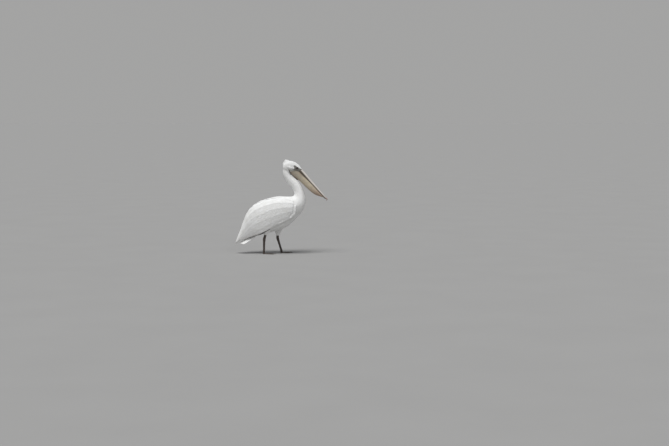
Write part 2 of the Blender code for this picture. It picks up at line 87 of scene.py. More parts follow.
FLESH: dict[Group, tuple[str, ...]] = {
    Group.HEAD: ("head", "crest"),
    Group.NECK: ("neck_upper", "neck_middle", "neck_lower"),
    Group.TRUNK: ("trunk", "thigh_right", "thigh_left"),
    Group.WING: ("wing_right", "wing_left", "tertials_right", "tertials_left"),
    Group.POUCH: ("pouch",),
}


@dataclass(frozen=True)
class Plan:
    """Where the bird's own plan lies in the frame.

    Attributes:
        shift: How far the frame's X is ahead of the plan's.
    """

    shift: float

    @classmethod
    def from_frame(cls) -> "Plan":
        """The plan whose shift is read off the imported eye."""
        low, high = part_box("eye_right")
        return cls((low.x + high.x) / 2 - EYE_PLAN_X)

    def place(self, x: float, y: float, z: float) -> Vector:
        """A point of the plan, forward, to the left and up, as a point of the frame."""
        return Vector((x + self.shift, y, z))


# Curves and meshes


def seed_of(name: str) -> np.random.Generator:
    """Random numbers for what the name says, the same on each run."""
    return np.random.default_rng(zlib.crc32(name.encode()))


def smooth_step(values: Array, low: float, high: float) -> Array:
    """Rises smoothly from 0 where the values are low to 1 where they are high."""
    t = np.clip((values - low) / (high - low), 0, 1)
    return t * t * (3 - 2 * t)


def through(values: Sequence[Sequence[float]], count: int) -> Array:
    """Rows spaced evenly along a smooth curve.

    Args:
        values: The rows that the curve goes through.
        count: How many rows to give.

    Returns:
        The rows.
    """
    rows = np.array(values, float)
    steps = np.maximum(np.linalg.norm(np.diff(rows, axis=0), axis=1), 1e-6)
    at = np.concatenate([[0], np.cumsum(steps)])
    slopes = np.gradient(rows, at, axis=0)
    wanted = np.linspace(0, at[-1], count)
    i = np.clip(np.searchsorted(at, wanted, side="right") - 1, 0, len(rows) - 2)
    span = (at[i + 1] - at[i])[:, None]
    t = (wanted - at[i])[:, None] / span
    return (
        (1 + 2 * t) * (1 - t) ** 2 * rows[i]
        + t * (1 - t) ** 2 * span * slopes[i]
        + t**2 * (3 - 2 * t) * rows[i + 1]
        - t**2 * (1 - t) * span * slopes[i + 1]
    )


def unit(rows: Array) -> Array:
    """Scales each vector along the last axis to length 1."""
    return rows / np.maximum(np.linalg.norm(rows, axis=-1, keepdims=True), 1e-9)


def new_object(name: str, points: Array, faces: Array) -> Object:
    """Makes an object from arrays.

    Args:
        name: The object's name.
        points: Its vertices, one row each.
        faces: Its faces, one row of indices each, all with the same number of corners.

    Returns:
        The object, shaded smooth and in the scene.
    """
    mesh = bpy.data.meshes.new(name)
    mesh.vertices.add(len(points))
    mesh.vertices.foreach_set("co", np.ascontiguousarray(points, np.float32).ravel())
    corners = faces.shape[1]
    mesh.loops.add(faces.size)
    mesh.loops.foreach_set("vertex_index", np.ascontiguousarray(faces, np.int32).ravel())
    mesh.polygons.add(len(faces))
    mesh.polygons.foreach_set("loop_start", np.arange(0, faces.size, corners, dtype=np.int32))
    mesh.update(calc_edges=True)
    mesh.validate()
    mesh.shade_smooth()
    return link(name, mesh)


def read(mesh: Mesh, what: str, key: str, width: int, kind: type = np.float32) -> Array:
    """Reads one property of a mesh's parts into an array.

    Args:
        mesh: The mesh.
        what: The parts, such as vertices or edges.
        key: The property.
        width: How many numbers each part has.
        kind: Their number type.

    Returns:
        One row for each part.
    """
    parts = getattr(mesh, what)
    values = np.empty(len(parts) * width, kind)
    parts.foreach_get(key, values)
    return values.reshape(-1, width)


def set_attributes(thing: Object, **values: Array) -> None:
    """Gives each vertex of an object some numbers.

    Args:
        thing: The object.
        values: One number for each vertex, under each attribute's name.
    """
    for name, numbers in values.items():
        made = thing.data.attributes.new(name, "FLOAT", "POINT")
        made.data.foreach_set("value", np.ascontiguousarray(numbers, np.float32))


def points_of(thing: Object) -> Array:
    """The places of an object's vertices."""
    return read(thing.data, "vertices", "co", 3)


def edges_of(thing: Object) -> Array:
    """The two vertices of each of an object's edges."""
    return read(thing.data, "edges", "vertices", 2, np.int32)


def normals_of(thing: Object) -> Array:
    """The way each of an object's vertices faces."""
    return unit(read(thing.data, "vertices", "normal", 3))


def move_points(thing: Object, points: Array) -> None:
    """Puts an object's vertices at new places."""
    thing.data.vertices.foreach_set("co", points.astype(np.float32).ravel())
    thing.data.update()


def link(name: str, data: ID) -> Object:
    """Puts a mesh, lamp or camera into the scene.

    Args:
        name: The new object's name.
        data: What it shows.

    Returns:
        The object.
    """
    thing = bpy.data.objects.new(name, data)
    bpy.context.scene.collection.objects.link(thing)
    return thing


def solid(name: str, shape: bmesh.types.BMesh) -> Object:
    """Turns a shape into an object, and frees it.

    Args:
        name: The object's name.
        shape: The shape.

    Returns:
        The object, in the scene.
    """
    mesh = bpy.data.meshes.new(name)
    shape.to_mesh(mesh)
    shape.free()
    return link(name, mesh)


def dress(piece: Object, finish: Material, slot: str, *nodes: str) -> None:
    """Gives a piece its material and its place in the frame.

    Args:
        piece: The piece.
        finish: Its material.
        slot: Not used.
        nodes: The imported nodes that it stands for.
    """
    piece.data.materials.append(finish)
    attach(piece, "root")
    if nodes:
        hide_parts(*nodes)


def tree_of(points: Array) -> KDTree:
    """Prepares the search for the nearest of some points.

    Args:
        points: The points.

    Returns:
        A tree of them, each under its index.
    """
    tree = KDTree(len(points))
    for i, point in enumerate(points):
        tree.insert(point, i)
    tree.balance()
    return tree


def settled(thing: Object) -> Object:
    """Applies an object's modifiers.

    Args:
        thing: The object.

    Returns:
        The same object.
    """
    shown = thing.evaluated_get(bpy.context.evaluated_depsgraph_get())
    thing.data = bpy.data.meshes.new_from_object(shown)
    thing.modifiers.clear()
    return thing


def modify(thing: Object, kind: str, **settings: Any) -> None:
    """Adds a modifier.

    Args:
        thing: The object that gets it.
        kind: The modifier's type.
        settings: Its properties.
    """
    made = thing.modifiers.new(kind.lower(), kind)
    for key, value in settings.items():
        setattr(made, key, value)


def between_rings(count: int, sides: int) -> Array:
    """The four-cornered faces between rings of points, one after another.

    Args:
        count: How many rings there are.
        sides: How many points each has.

    Returns:
        The faces' corners.
    """
    here = np.arange((count - 1) * sides)
    beside = here - here % sides + (here + 1) % sides
    return np.stack([here, beside, beside + sides, here + sides], -1)


def tube(name: str, rings: Array) -> Object:
    """Skins rings of points into a closed solid with pointed caps.

    Args:
        name: The object's name.
        rings: Points, as (ring, point, xyz).

    Returns:
        The object.
    """
    count, sides = rings.shape[:2]
    form = bmesh.new()
    verts = [form.verts.new(p) for p in (*rings.reshape(-1, 3), rings[0].mean(0), rings[-1].mean(0))]
    for quad in between_rings(count, sides):
        form.faces.new([verts[n] for n in quad])
    last = (count - 1) * sides
    for a in range(sides):
        b = (a + 1) % sides
        form.faces.new((verts[b], verts[a], verts[-2]))
        form.faces.new((verts[last + a], verts[last + b], verts[-1]))
    bmesh.ops.recalc_face_normals(form, faces=form.faces)
    made = solid(name, form)
    made.data.shade_smooth()
    return made


def copy_nodes(names: Sequence[str], name: str, swell: float) -> Object:
    """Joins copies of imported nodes, each a little larger, so that they overlap.

    Args:
        names: The nodes.
        name: The new object's name.
        swell: How far each copy is grown.

    Returns:
        The joined copy.
    """
    whole = bmesh.new()
    for node in names:
        part = bmesh.new()
        part.from_mesh(bpy.data.objects[node].data)
        bmesh.ops.remove_doubles(part, verts=part.verts, dist=1e-5)
        part.normal_update()
        moves = [v.normal * swell * min(v.calc_shell_factor(), 2) for v in part.verts]
        for vertex, move in zip(part.verts, moves):
            vertex.co += move
        held = bpy.data.meshes.new("held")
        part.to_mesh(held)
        part.free()
        whole.from_mesh(held)
        bpy.data.meshes.remove(held)
    return solid(name, whole)


def spread_out(edges: Array, values: Array, rounds: int, share: float = 0.5) -> Array:
    """Evens out values over a mesh.

    Args:
        edges: Pairs of vertex indices.
        values: One row for each vertex.
        rounds: How many times it is done.
        share: How far each value goes towards its neighbours' mean. A negative one sharpens.

    Returns:
        The new values.
    """
    count = np.maximum(np.bincount(edges.ravel(), minlength=len(values)), 1)
    rows = values.reshape(len(values), -1).astype(float)
    for _ in range(rounds):
        for k in range(rows.shape[1]):
            column = rows[:, k]
            total = np.bincount(edges[:, 0], column[edges[:, 1]], len(rows))
            total += np.bincount(edges[:, 1], column[edges[:, 0]], len(rows))
            rows[:, k] += share * (total / count - column)
    return rows.reshape(values.shape)


def rounded(edges: Array, points: Array, rounds: int) -> Array:
    """Smooths a mesh's points without shrinking it.

    Args:
        edges: Pairs of vertex indices.
        points: The points.
        rounds: How many times it is done.

    Returns:
        The new points.
    """
    for _ in range(rounds):
        points = spread_out(edges, points, 1, 0.55)
        points = spread_out(edges, points, 1, -0.57)
    return points


def ripple(points: Array, size: float, name: str) -> Array:
    """Smooth noise at some points, mostly from -1 to 1.

    Args:
        points: Where it is read.
        size: The size of its waves.
        name: What it is for.

    Returns:
        A value for each point.
    """
    rng = seed_of(name)
    ways = unit(rng.normal(size=(10, points.shape[1])))
    ways = ways * (rng.uniform(0.7, 1.5, (10, 1)) * 2 * math.pi / size)
    return np.sin(points @ ways.T + rng.uniform(0, 2 * math.pi, 10)).sum(1) / 3.2


# Materials


class Graph:
    """Short calls for building the nodes of one material, or of the surround."""

    def __init__(self, name: str, world: bool = False) -> None:
        """Starts a material with a Principled surface, or a surround with a Background.

        Args:
            name: Its name.
            world: Whether it is a surround.
        """
        self.made = (bpy.data.worlds if world else bpy.data.materials).new(name)
        self.made.use_nodes = True
        self.tree = self.made.node_tree
        self.surface = next(n for n in self.tree.nodes if n.type in ("BSDF_PRINCIPLED", "BACKGROUND"))

    def add(self, kind: str, *inputs: Any, **settings: Any) -> Node:
        """Adds a node.

        Args:
            kind: Its type, without the leading ShaderNode.
            inputs: Values or sockets for its inputs, in order. None leaves one alone.
            settings: Its properties, or inputs by name where it has no such property.

        Returns:
            The node.
        """
        made = self.tree.nodes.new("ShaderNode" + kind)
        for key, value in settings.items():
            if hasattr(made, key):
                setattr(made, key, value)
            else:
                self.feed(made.inputs[key.replace("_", " ").title()], value)
        for socket, value in zip(made.inputs, inputs):
            if value is not None:
                self.feed(socket, value)
        return made

    def feed(self, socket: NodeSocket, value: Any) -> None:
        """Links or sets one input.

        Args:
            socket: The input.
            value: A socket to link, or a value.
        """
        if isinstance(value, NodeSocket):
            self.tree.links.new(value, socket)
        elif isinstance(value, tuple) and len(value) == 3 and socket.type == "RGBA":
            socket.default_value = (*value, 1)
        else:
            socket.default_value = value

    def sum(self, kind: str, a: Any, b: Any = 0.0, c: Any = 0.0) -> NodeSocket:
        """The socket of a sum of the kind named, on numbers or sockets."""
        return self.add("Math", a, b, c, operation=kind).outputs[0]

    def ramp(self, value: Any, low: float, high: float, start: float = 0.0, end: float = 1.0) -> NodeSocket:
        """The socket of what goes smoothly from start to end as the value goes from low to high."""
        return self.add("MapRange", value, low, high, start, end, interpolation_type="SMOOTHSTEP").outputs[0]

    def blend(self, share: Any, a: Any, b: Any) -> NodeSocket:
        """Mixes two colours.

        Args:
            share: How much of the second.
            a: The first colour.
            b: The second colour.

        Returns:
            The colour's socket.
        """
        made = self.tree.nodes.new("ShaderNodeMix")
        made.data_type = "RGBA"
        for index, value in ((0, share), (6, a), (7, b)):
            self.feed(made.inputs[index], value)
        return made.outputs[2]

    def places(self, scale: Colour) -> NodeSocket:
        """The socket of the object's points, stretched along X, Y and Z."""
        source = self.add("TexCoord").outputs["Object"]
        return self.add("Mapping", source, Scale=scale).outputs[0]

    def noise(self, size: float, detail: float = 3.0, stretch: Colour = (1, 1, 1)) -> NodeSocket:
        """The socket of soft noise from 0 to 1, in blots of some size with finer detail."""
        return self.add("TexNoise", Vector=self.places(stretch), Scale=1 / size, Detail=detail).outputs[0]

    def streaks(self, along: Any, across: Any) -> NodeSocket:
        """The socket of noise that is read on a strip of a surface."""
        strip = self.add("CombineXYZ", along, across).outputs[0]
        return self.add("TexNoise", Vector=strip, Scale=1.0, Detail=4.0).outputs[0]

    def cells(self, size: float) -> NodeSocket:
        """The socket of the distance into the cells of a net."""
        net = {"Vector": self.places((1, 1, 1)), "Scale": 1 / size}
        return self.add("TexVoronoi", feature="DISTANCE_TO_EDGE", **net).outputs["Distance"]

    def value(self, name: str) -> NodeSocket:
        """The socket of a number that the mesh holds."""
        return self.add("Attribute", attribute_name=name).outputs["Fac"]

    def bump(self, height: Any, distance: float, strength: float) -> NodeSocket:
        """The socket of a normal bent by a height, of which 1 stands out by the distance."""
        return self.add("Bump", Strength=strength, Distance=distance, Height=height).outputs[0]

    def finish(self, **inputs: Any) -> Any:
        """Sets the surface's inputs.

        Args:
            inputs: Values or sockets, by name with _ for a space.

        Returns:
            The material or surround.
        """
        for key, value in inputs.items():
            self.feed(self.surface.inputs[key.replace("_", " ")], value)
        return self.made


@dataclass(frozen=True)
class Plumage:
    """The finish of feathers. The skin under them has the same colours.

    Attributes:
        name: The material's name.
        pale: The colour of most of a vane.
        dim: The colour of vanes that are a little duller.
        root: The colour near the root, between the vanes.
        barb: How far apart the barbs' clumps are.
        roughness: The surface's roughness.
        sheen: How much the fine barbs glow at a glancing angle.
    """

    name: str = "white_plumage"
    pale: Colour = (0.88, 0.88, 0.875)
    dim: Colour = (0.81, 0.805, 0.785)
    root: Colour = (0.80, 0.795, 0.78)
    barb: float = 0.0012
    roughness: float = 0.78
    sheen: float = 0.15

    def make(self) -> Material:
        """Builds the material.

        Returns:
            The material.
        """
        g = Graph(self.name)
        vane = g.add("UVMap", uv_map="Vane").outputs[0]
        across, along, _ = g.add("SeparateXYZ", vane).outputs
        aside = g.sum("ABSOLUTE", across)
        slant = g.sum("SUBTRACT", along, g.sum("MULTIPLY", aside, 1.3))
        barbs = g.sum("SINE", g.sum("MULTIPLY", slant, 6.283 / self.barb))
        wobble = g.sum("MULTIPLY", g.noise(0.006), 0.8)
        shaft = g.ramp(aside, 0.0010, 0.0003)
        tint = g.sum("MULTIPLY", g.value("tint"), 0.6)
        patches = g.sum("ADD", g.sum("MULTIPLY", g.noise(0.05, 2.0), 0.7), tint)
        colour = g.blend(g.ramp(patches, 0.35, 1.0), self.pale, self.dim)
        colour = g.blend(g.ramp(g.value("tip"), 0.40, 0.0), colour, self.root)
        height = g.sum("ADD", g.sum("ADD", g.sum("MULTIPLY", barbs, 0.16), wobble), shaft)
        normal = g.bump(height, 0.0004, 0.5)
        return g.finish(Base_Color=colour, Roughness=self.roughness, Sheen_Weight=self.sheen, Normal=normal)


@dataclass(frozen=True)
class BareSkin:
    """The finish of the skin: white under the feathers, and coloured on the bare face and pouch.

    Attributes:
        cover: The plumage over it.
        face: The colour round the eye.
        lore: The darker blotches.
        cheek: The colour below the eye.
        jaw: The paler colour towards the jaw.
        rim: The colour of the eyelids.
        back: The pouch's colour near the throat, partly its own and partly painted shade from the crease.
        middle: Its colour halfway.
        front: Its colour near the bill's tip.
        vein_and_shade: The colour of its fine veins, also laid as painted shade along its top under the bill,
            and as a darker band towards its lower edge.
        crease: The colour of the painted shade in the crease between jaw and neck.
    """

    cover: Plumage
    face: Colour = (0.190, 0.184, 0.170)
    lore: Colour = (0.105, 0.097, 0.090)
    cheek: Colour = (0.215, 0.200, 0.175)
    jaw: Colour = (0.54, 0.52, 0.485)
    rim: Colour = (0.060, 0.050, 0.046)
    back: Colour = (0.42, 0.375, 0.30)
    middle: Colour = (0.57, 0.50, 0.375)
    front: Colour = (0.41, 0.30, 0.225)
    vein_and_shade: Colour = (0.30, 0.19, 0.145)
    crease: Colour = (0.040, 0.034, 0.028)

    def make(self) -> Material:
        """Builds the material.

        Returns:
            The material.
        """
        g = Graph("skin")
        bare, pouch = g.value("bare"), g.value("pouch")
        blots = g.noise(0.010, 4.0)
        face = g.blend(g.value("low"), self.face, self.cheek)
        face = g.blend(g.value("jaw"), face, self.jaw)
        face = g.blend(g.ramp(blots, 0.46, 0.78, 0.0, 0.55), face, self.lore)
        face = g.blend(g.value("ring"), face, self.rim)
        white = g.blend(g.noise(0.02), self.cover.root, self.cover.dim)
        normal = g.bump(g.sum("MULTIPLY", self._relief(g), bare), 0.0008, 0.9)
        # the crease attribute lays painted shade along the crease between jaw and neck, over the bare skin
        naked = g.blend(g.value("crease"), g.blend(pouch, face, self._pouch(g)), self.crease)
        colour = g.blend(bare, white, naked)
        rough = g.ramp(bare, 0.0, 1.0, 0.8, 0.52)
        looks = {"Base_Color": colour, "Roughness": rough, "Normal": normal}
        return g.finish(Subsurface_Weight=0.06, Subsurface_Scale=0.003, **looks)

    def _relief(self, g: Graph) -> NodeSocket:
        """Adds fine pores, creases and veins.

        Args:
            g: The material's graph.

        Returns:
            The socket of their height.
        """
        along, across = g.sum("MULTIPLY", g.value("share"), 14.0), g.sum("MULTIPLY", g.value("fall"), 34.0)
        creases = g.streaks(along, across)
        pores = g.sum("MULTIPLY", g.ramp(g.cells(0.0018), 0.0, 0.25), 0.25)
        return g.sum("ADD", g.sum("ADD", g.noise(0.0018, 4.0), pores), g.sum("MULTIPLY", creases, 1.8))

    def _pouch(self, g: Graph) -> NodeSocket:
        """Adds the pouch's colours.

        Args:
            g: The material's graph.

        Returns:
            The socket of its colour.
        """
        share, fall = g.value("share"), g.value("fall")
        # the pouch's back colour is darkened partly as painted shade from the crease at the throat
        colour = g.blend(g.ramp(share, -0.05, 0.30), self.back, self.middle)
        colour = g.blend(g.ramp(share, 0.42, 0.82), colour, self.front)
        colour = g.blend(g.ramp(g.noise(0.028, 3.0), 0.45, 0.8, 0.0, 0.40), colour, self.front)
        wander = g.sum("ABSOLUTE", g.sum("SUBTRACT", g.noise(0.016, 3.0, (1.0, 0.6, 0.5)), 0.5))
        colour = g.blend(g.ramp(wander, 0.022, 0.0, 0.0, 0.30), colour, self.vein_and_shade)
        # darker towards the pouch's lower edge
        colour = g.blend(g.ramp(fall, 0.72, 1.05, 0.0, 0.55), colour, self.vein_and_shade)
        # painted shade along the pouch's top, under the lower bill
        return g.blend(g.ramp(fall, 0.10, -0.02, 0.0, 0.35), colour, self.vein_and_shade)


@dataclass(frozen=True)
class Horn:
    """The finish of the bill.

    Attributes:
        name: The material's name.
        ridge: The colour along the top, partly the bill's own pale colour and partly painted light from above.
        side: The colour down the sides and of the lower bill, partly the horn's own dark and partly painted
            shade.
        edge: The colour of the cutting edge.
        tip: The colour at the front.
    """

    name: str = "bill_horn"
    ridge: Colour = (0.64, 0.60, 0.56)
    side: Colour = (0.125, 0.098, 0.070)
    edge: Colour = (0.20, 0.16, 0.12)
    tip: Colour = (0.34, 0.28, 0.26)

    def make(self) -> Material:
        """Builds the material.

        Returns:
            The material.
        """
        g = Graph(self.name)
        down, share = g.value("down"), g.value("share")
        streaks = g.streaks(g.sum("MULTIPLY", share, 6.0), g.sum("MULTIPLY", down, 260.0))
        wander = g.sum("MULTIPLY_ADD", g.sum("SUBTRACT", streaks, 0.5), 0.0040, down)
        # pale ridge over dark sides: partly the bill's own colours, partly painted light on top and painted
        # shade down the sides
        colour = g.blend(g.ramp(wander, 0.0140, 0.0190), self.ridge, self.side)
        colour = g.blend(g.ramp(share, 0.80, 1.0, 0.0, 0.8), colour, self.tip)
        colour = g.blend(g.value("rim"), colour, self.edge)
        colour = g.blend(g.ramp(streaks, 0.48, 0.80, 0.0, 0.38), colour, self.side)
        growth = g.sum("ADD", streaks, g.sum("MULTIPLY", g.noise(0.0015, 2.0), 0.3))
        rough = g.ramp(streaks, 0.2, 0.8, 0.40, 0.56)
        return g.finish(Base_Color=colour, Roughness=rough, Normal=g.bump(growth, 0.0006, 0.5))


@dataclass(frozen=True)
class ScalySkin:
    """The finish of the legs and feet, whose dark colours are partly their own and partly painted shade from
    the body above.

    Attributes:
        scale: The colour of the darker scales.
        pale: The colour of the paler ones.
        seam: The colour between them.
    """

    # scale and pale are both dark partly as painted shade from the body above the legs
    scale: Colour = (0.062, 0.046, 0.038)
    pale: Colour = (0.115, 0.086, 0.068)
    seam: Colour = (0.022, 0.017, 0.015)

    def make(self) -> Material:
        """Builds the material.

        Returns:
            The material.
        """
        g = Graph("leg_skin")
        seam = g.value("seam")
        plates = g.sum("MULTIPLY", g.value("plate"), 0.5)
        mixed = g.sum("ADD", plates, g.sum("MULTIPLY", g.noise(0.03, 3.0), 0.8))
        colour = g.blend(g.ramp(mixed, 0.35, 1.0), self.scale, self.pale)
        colour = g.blend(g.sum("MULTIPLY", seam, 0.8), colour, self.seam)
        fine = g.sum("ADD", g.noise(0.0009, 3.0), g.sum("MULTIPLY", g.ramp(g.cells(0.0013), 0.0, 0.3), 0.6))
        rough = g.ramp(seam, 0.0, 1.0, 0.46, 0.72)
        return g.finish(Base_Color=colour, Roughness=rough, Normal=g.bump(fine, 0.00025, 0.6))


@dataclass(frozen=True)
class Claw:
    """The finish of the claws and of the nail on the bill.

    Attributes:
        name: The material's name.
        horn: The main colour.
        worn: The paler colour of wear.
    """

    name: str
    horn: Colour
    worn: Colour

    def make(self) -> Material:
        """Builds the material.

        Returns:
            The material.
        """
        g = Graph(self.name)
        grain = g.noise(0.003, 4.0)
        colour = g.blend(g.ramp(grain, 0.4, 0.75), self.horn, self.worn)
        rough = g.ramp(grain, 0.2, 0.8, 0.3, 0.5)
        return g.finish(Base_Color=colour, Roughness=rough, Normal=g.bump(grain, 0.0003, 0.5))


@dataclass(frozen=True)
class Iris:
    """The finish of the eye.

    Attributes:
        pupil: The pupil's colour.
        iris: The iris's colour.
        outer: The colour at the iris's edge.
    """

    pupil: Colour = (0.004, 0.003, 0.003)
    iris: Colour = (0.060, 0.024, 0.012)
    outer: Colour = (0.012, 0.007, 0.006)

    def make(self) -> Material:
        """Builds the material.

        Returns:
            The material.
        """
        g = Graph("eye")
        off = g.value("off")
        rays = g.noise(0.0012, 3.0)
        colour = g.blend(g.ramp(off, 0.33, 0.37), self.pupil, self.iris)
        colour = g.blend(g.sum("MULTIPLY", rays, g.ramp(off, 0.4, 0.7)), colour, self.outer)
        colour = g.blend(g.ramp(off, 0.70, 0.80), colour, self.outer)
        return g.finish(Base_Color=colour, Roughness=0.05, IOR=1.38, Normal=g.bump(rays, 0.0001, 0.05))


@dataclass(frozen=True)
class Ground:
    """The finish of the studio floor.

    Attributes:
        tone: Its colour.
        worn: Its darker blotches.
    """

    tone: Colour = (0.335, 0.331, 0.325)
    worn: Colour = (0.321, 0.317, 0.311)

    def make(self) -> Material:
        """Builds the material.

        Returns:
            The material.
        """
        g = Graph("studio_floor")
        colour = g.blend(g.ramp(g.noise(0.6, 5.0), 0.3, 0.7, 0.0, 0.5), self.tone, self.worn)
        normal = g.bump(g.noise(0.01), 0.001, 0.2)
        return g.finish(Base_Color=colour, Roughness=0.95, Specular_IOR_Level=0.0, Normal=normal)


# The outer form and the lie of the coat


@dataclass(frozen=True)
class Guide:
    """What the feathers are like round one place of the side view.

    Attributes:
        at: The place.
        turn: The way they point, in degrees up from straight ahead.
        length: How long they are.
        width: How wide they are from the shaft to one edge.
        depth: How thick the coat is.
    """

    at: Pair
    turn: float
    length: float
    width: float
    depth: float


BODY_GUIDES: tuple[Guide, ...] = (
    # head, from the bill back
    Guide((0.205, 0.903), 135, 0.006, 0.0016, 0.0008),
    Guide((0.175, 0.938), 142, 0.008, 0.0019, 0.0010),
    Guide((0.130, 0.965), 163, 0.011, 0.0022, 0.0014),
    Guide((0.080, 0.978), 182, 0.015, 0.0024, 0.0020),
    Guide((0.035, 0.960), 220, 0.019, 0.0026, 0.0024),
    Guide((0.017, 0.920), 262, 0.018, 0.0027, 0.0024),
    Guide((0.150, 0.930), 175, 0.008, 0.0019, 0.0008),
    Guide((0.110, 0.905), 188, 0.010, 0.0023, 0.0016),
    Guide((0.070, 0.905), 215, 0.014, 0.0026, 0.0022),
    Guide((0.095, 0.868), 205, 0.009, 0.0021, 0.0012),
    Guide((0.060, 0.862), 262, 0.013, 0.0026, 0.0020),
    # neck
    Guide((0.014, 0.860), 273, 0.018, 0.0030, 0.0025),
    Guide((0.045, 0.820), 291, 0.018, 0.0032, 0.0027),
    Guide((0.080, 0.780), 306, 0.020, 0.0035, 0.0030),
    Guide((0.120, 0.735), 311, 0.022, 0.0038, 0.0033),
    Guide((0.158, 0.695), 303, 0.025, 0.0042, 0.0036),
    Guide((0.180, 0.640), 272, 0.030, 0.0048, 0.0040),
    Guide((0.135, 0.622), 255, 0.030, 0.0050, 0.0040),
    # breast and belly
    Guide((0.240, 0.580), 266, 0.036, 0.0056, 0.0047),
    Guide((0.180, 0.560), 250, 0.040, 0.0062, 0.0050),
    Guide((0.243, 0.500), 250, 0.042, 0.0064, 0.0058),
    Guide((0.190, 0.420), 232, 0.044, 0.0070, 0.0061),
    Guide((0.110, 0.330), 222, 0.044, 0.0078, 0.0061),
    Guide((0.030, 0.272), 212, 0.044, 0.0080, 0.0061),
    Guide((-0.080, 0.232), 195, 0.044, 0.0080, 0.0058),
    Guide((-0.200, 0.208), 184, 0.055, 0.0085, 0.0050),
    Guide((-0.300, 0.205), 196, 0.080, 0.0100, 0.0043),
    # mantle and back
    Guide((0.100, 0.603), 205, 0.036, 0.0060, 0.0047),
    Guide((0.020, 0.605), 183, 0.042, 0.0075, 0.0050),
    Guide((-0.080, 0.600), 187, 0.050, 0.0088, 0.0050),
    Guide((-0.180, 0.572), 201, 0.062, 0.0098, 0.0050),
    Guide((-0.280, 0.520), 220, 0.072, 0.0105, 0.0047),
    Guide((-0.340, 0.450), 238, 0.076, 0.0110, 0.0043),
    # thighs
    Guide((-0.160, 0.225), 262, 0.024, 0.0052, 0.0036),
    Guide((-0.176, 0.190), 268, 0.014, 0.0036, 0.0016),
    Guide((-0.040, 0.240), 262, 0.026, 0.0055, 0.0040),
    Guide((-0.045, 0.190), 266, 0.014, 0.0036, 0.0016),
)
WING_GUIDES: tuple[Guide, ...] = (
    # front of the wing and its small coverts
    Guide((0.150, 0.500), 248, 0.030, 0.0068, 0.0050),
    Guide((0.150, 0.420), 236, 0.026, 0.0062, 0.0045),
    Guide((0.110, 0.560), 200, 0.036, 0.0080, 0.0060),
    Guide((0.100, 0.470), 218, 0.036, 0.0085, 0.0060),
    Guide((0.100, 0.385), 210, 0.034, 0.0078, 0.0050),
    Guide((0.020, 0.580), 187, 0.044, 0.0092, 0.0065),
    Guide((0.000, 0.480), 200, 0.046, 0.0105, 0.0065),
    Guide((0.000, 0.350), 205, 0.050, 0.0100, 0.0055),
    # larger coverts
    Guide((-0.080, 0.580), 190, 0.056, 0.0108, 0.0065),
    Guide((-0.100, 0.430), 202, 0.064, 0.0125, 0.0065),
    Guide((-0.100, 0.300), 204, 0.075, 0.0125, 0.0055),
    Guide((-0.190, 0.560), 203, 0.070, 0.0122, 0.0060),
    Guide((-0.200, 0.400), 208, 0.085, 0.0140, 0.0060),
    Guide((-0.200, 0.260), 204, 0.095, 0.0140, 0.0050),
    Guide((-0.290, 0.505), 222, 0.090, 0.0135, 0.0055),
    Guide((-0.300, 0.360), 221, 0.100, 0.0145, 0.0050),
    Guide((-0.290, 0.220), 206, 0.100, 0.0140, 0.0045),
    # the long feathers over the tail
    Guide((-0.360, 0.430), 238, 0.100, 0.0140, 0.0045),
    Guide((-0.380, 0.280), 229, 0.095, 0.0135, 0.0040),
    Guide((-0.360, 0.185), 207, 0.085, 0.0125, 0.0035),
    Guide((-0.410, 0.320), 249, 0.085, 0.0125, 0.0035),
    Guide((-0.440, 0.220), 249, 0.065, 0.0110, 0.0030),
    Guide((-0.440, 0.150), 214, 0.055, 0.0100, 0.0025),
    Guide((-0.475, 0.140), 245, 0.040, 0.0080, 0.0020),
)
# The lower edge of the folded wing in the side view, from the front back
WING_EDGE: tuple[Pair, ...] = (
    (0.118, 0.381), (0.040, 0.340), (-0.070, 0.287), (-0.155, 0.238), (-0.225, 0.203), (-0.290, 0.188),
    (-0.345, 0.172), (-0.400, 0.151),
)
# Corners of the bare face in the side view, from the top of the bill back round the eye and along the jaw
FACE: tuple[Pair, ...] = (
    (0.2140, 0.8915), (0.2060, 0.8930), (0.1930, 0.8995), (0.1800, 0.9090), (0.1650, 0.9205),
    (0.1480, 0.9305), (0.1320, 0.9320), (0.1260, 0.9240), (0.1330, 0.9080), (0.1350, 0.8950),
    (0.1180, 0.8870), (0.1000, 0.8880), (0.0840, 0.8920), (0.0740, 0.8960), (0.0745, 0.8800),
    (0.0860, 0.8500), (0.1000, 0.8290), (0.2000, 0.8400), (0.2300, 0.8700),
)
# The crease between jaw and neck in the side view, from behind the cheek down to the throat
CREASE: tuple[Pair, ...] = (
    (0.0720, 0.8990), (0.0740, 0.8800), (0.0865, 0.8510), (0.1000, 0.8310), (0.1190, 0.8130),
    (0.1430, 0.7930), (0.1650, 0.7760),
)
# What fills the cleft between the folded wings, from the back to their tips: ahead, up, half width and depth
BETWEEN_WINGS: tuple[tuple[float, float, float, float], ...] = (
    (-0.225, 0.535, 0.024, 0.013), (-0.290, 0.480, 0.029, 0.017), (-0.345, 0.415, 0.030, 0.021),
    (-0.382, 0.345, 0.028, 0.023), (-0.408, 0.270, 0.025, 0.023), (-0.432, 0.205, 0.021, 0.019),
    (-0.455, 0.150, 0.015, 0.012),
)
# The middle of what closes the throat's crease in the side view
THROAT: tuple[Pair, ...] = ((0.088, 0.856), (0.104, 0.836), (0.124, 0.812), (0.146, 0.790), (0.170, 0.766))
# What wraps the root of the bill: metres along it, half width, depth
BILL_ROOT: tuple[tuple[float, float, float], ...] = (
    (-0.050, 0.0225, 0.0420), (-0.020, 0.0262, 0.0440), (-0.004, 0.0266, 0.0425), (0.005, 0.0245, 0.0395),
)


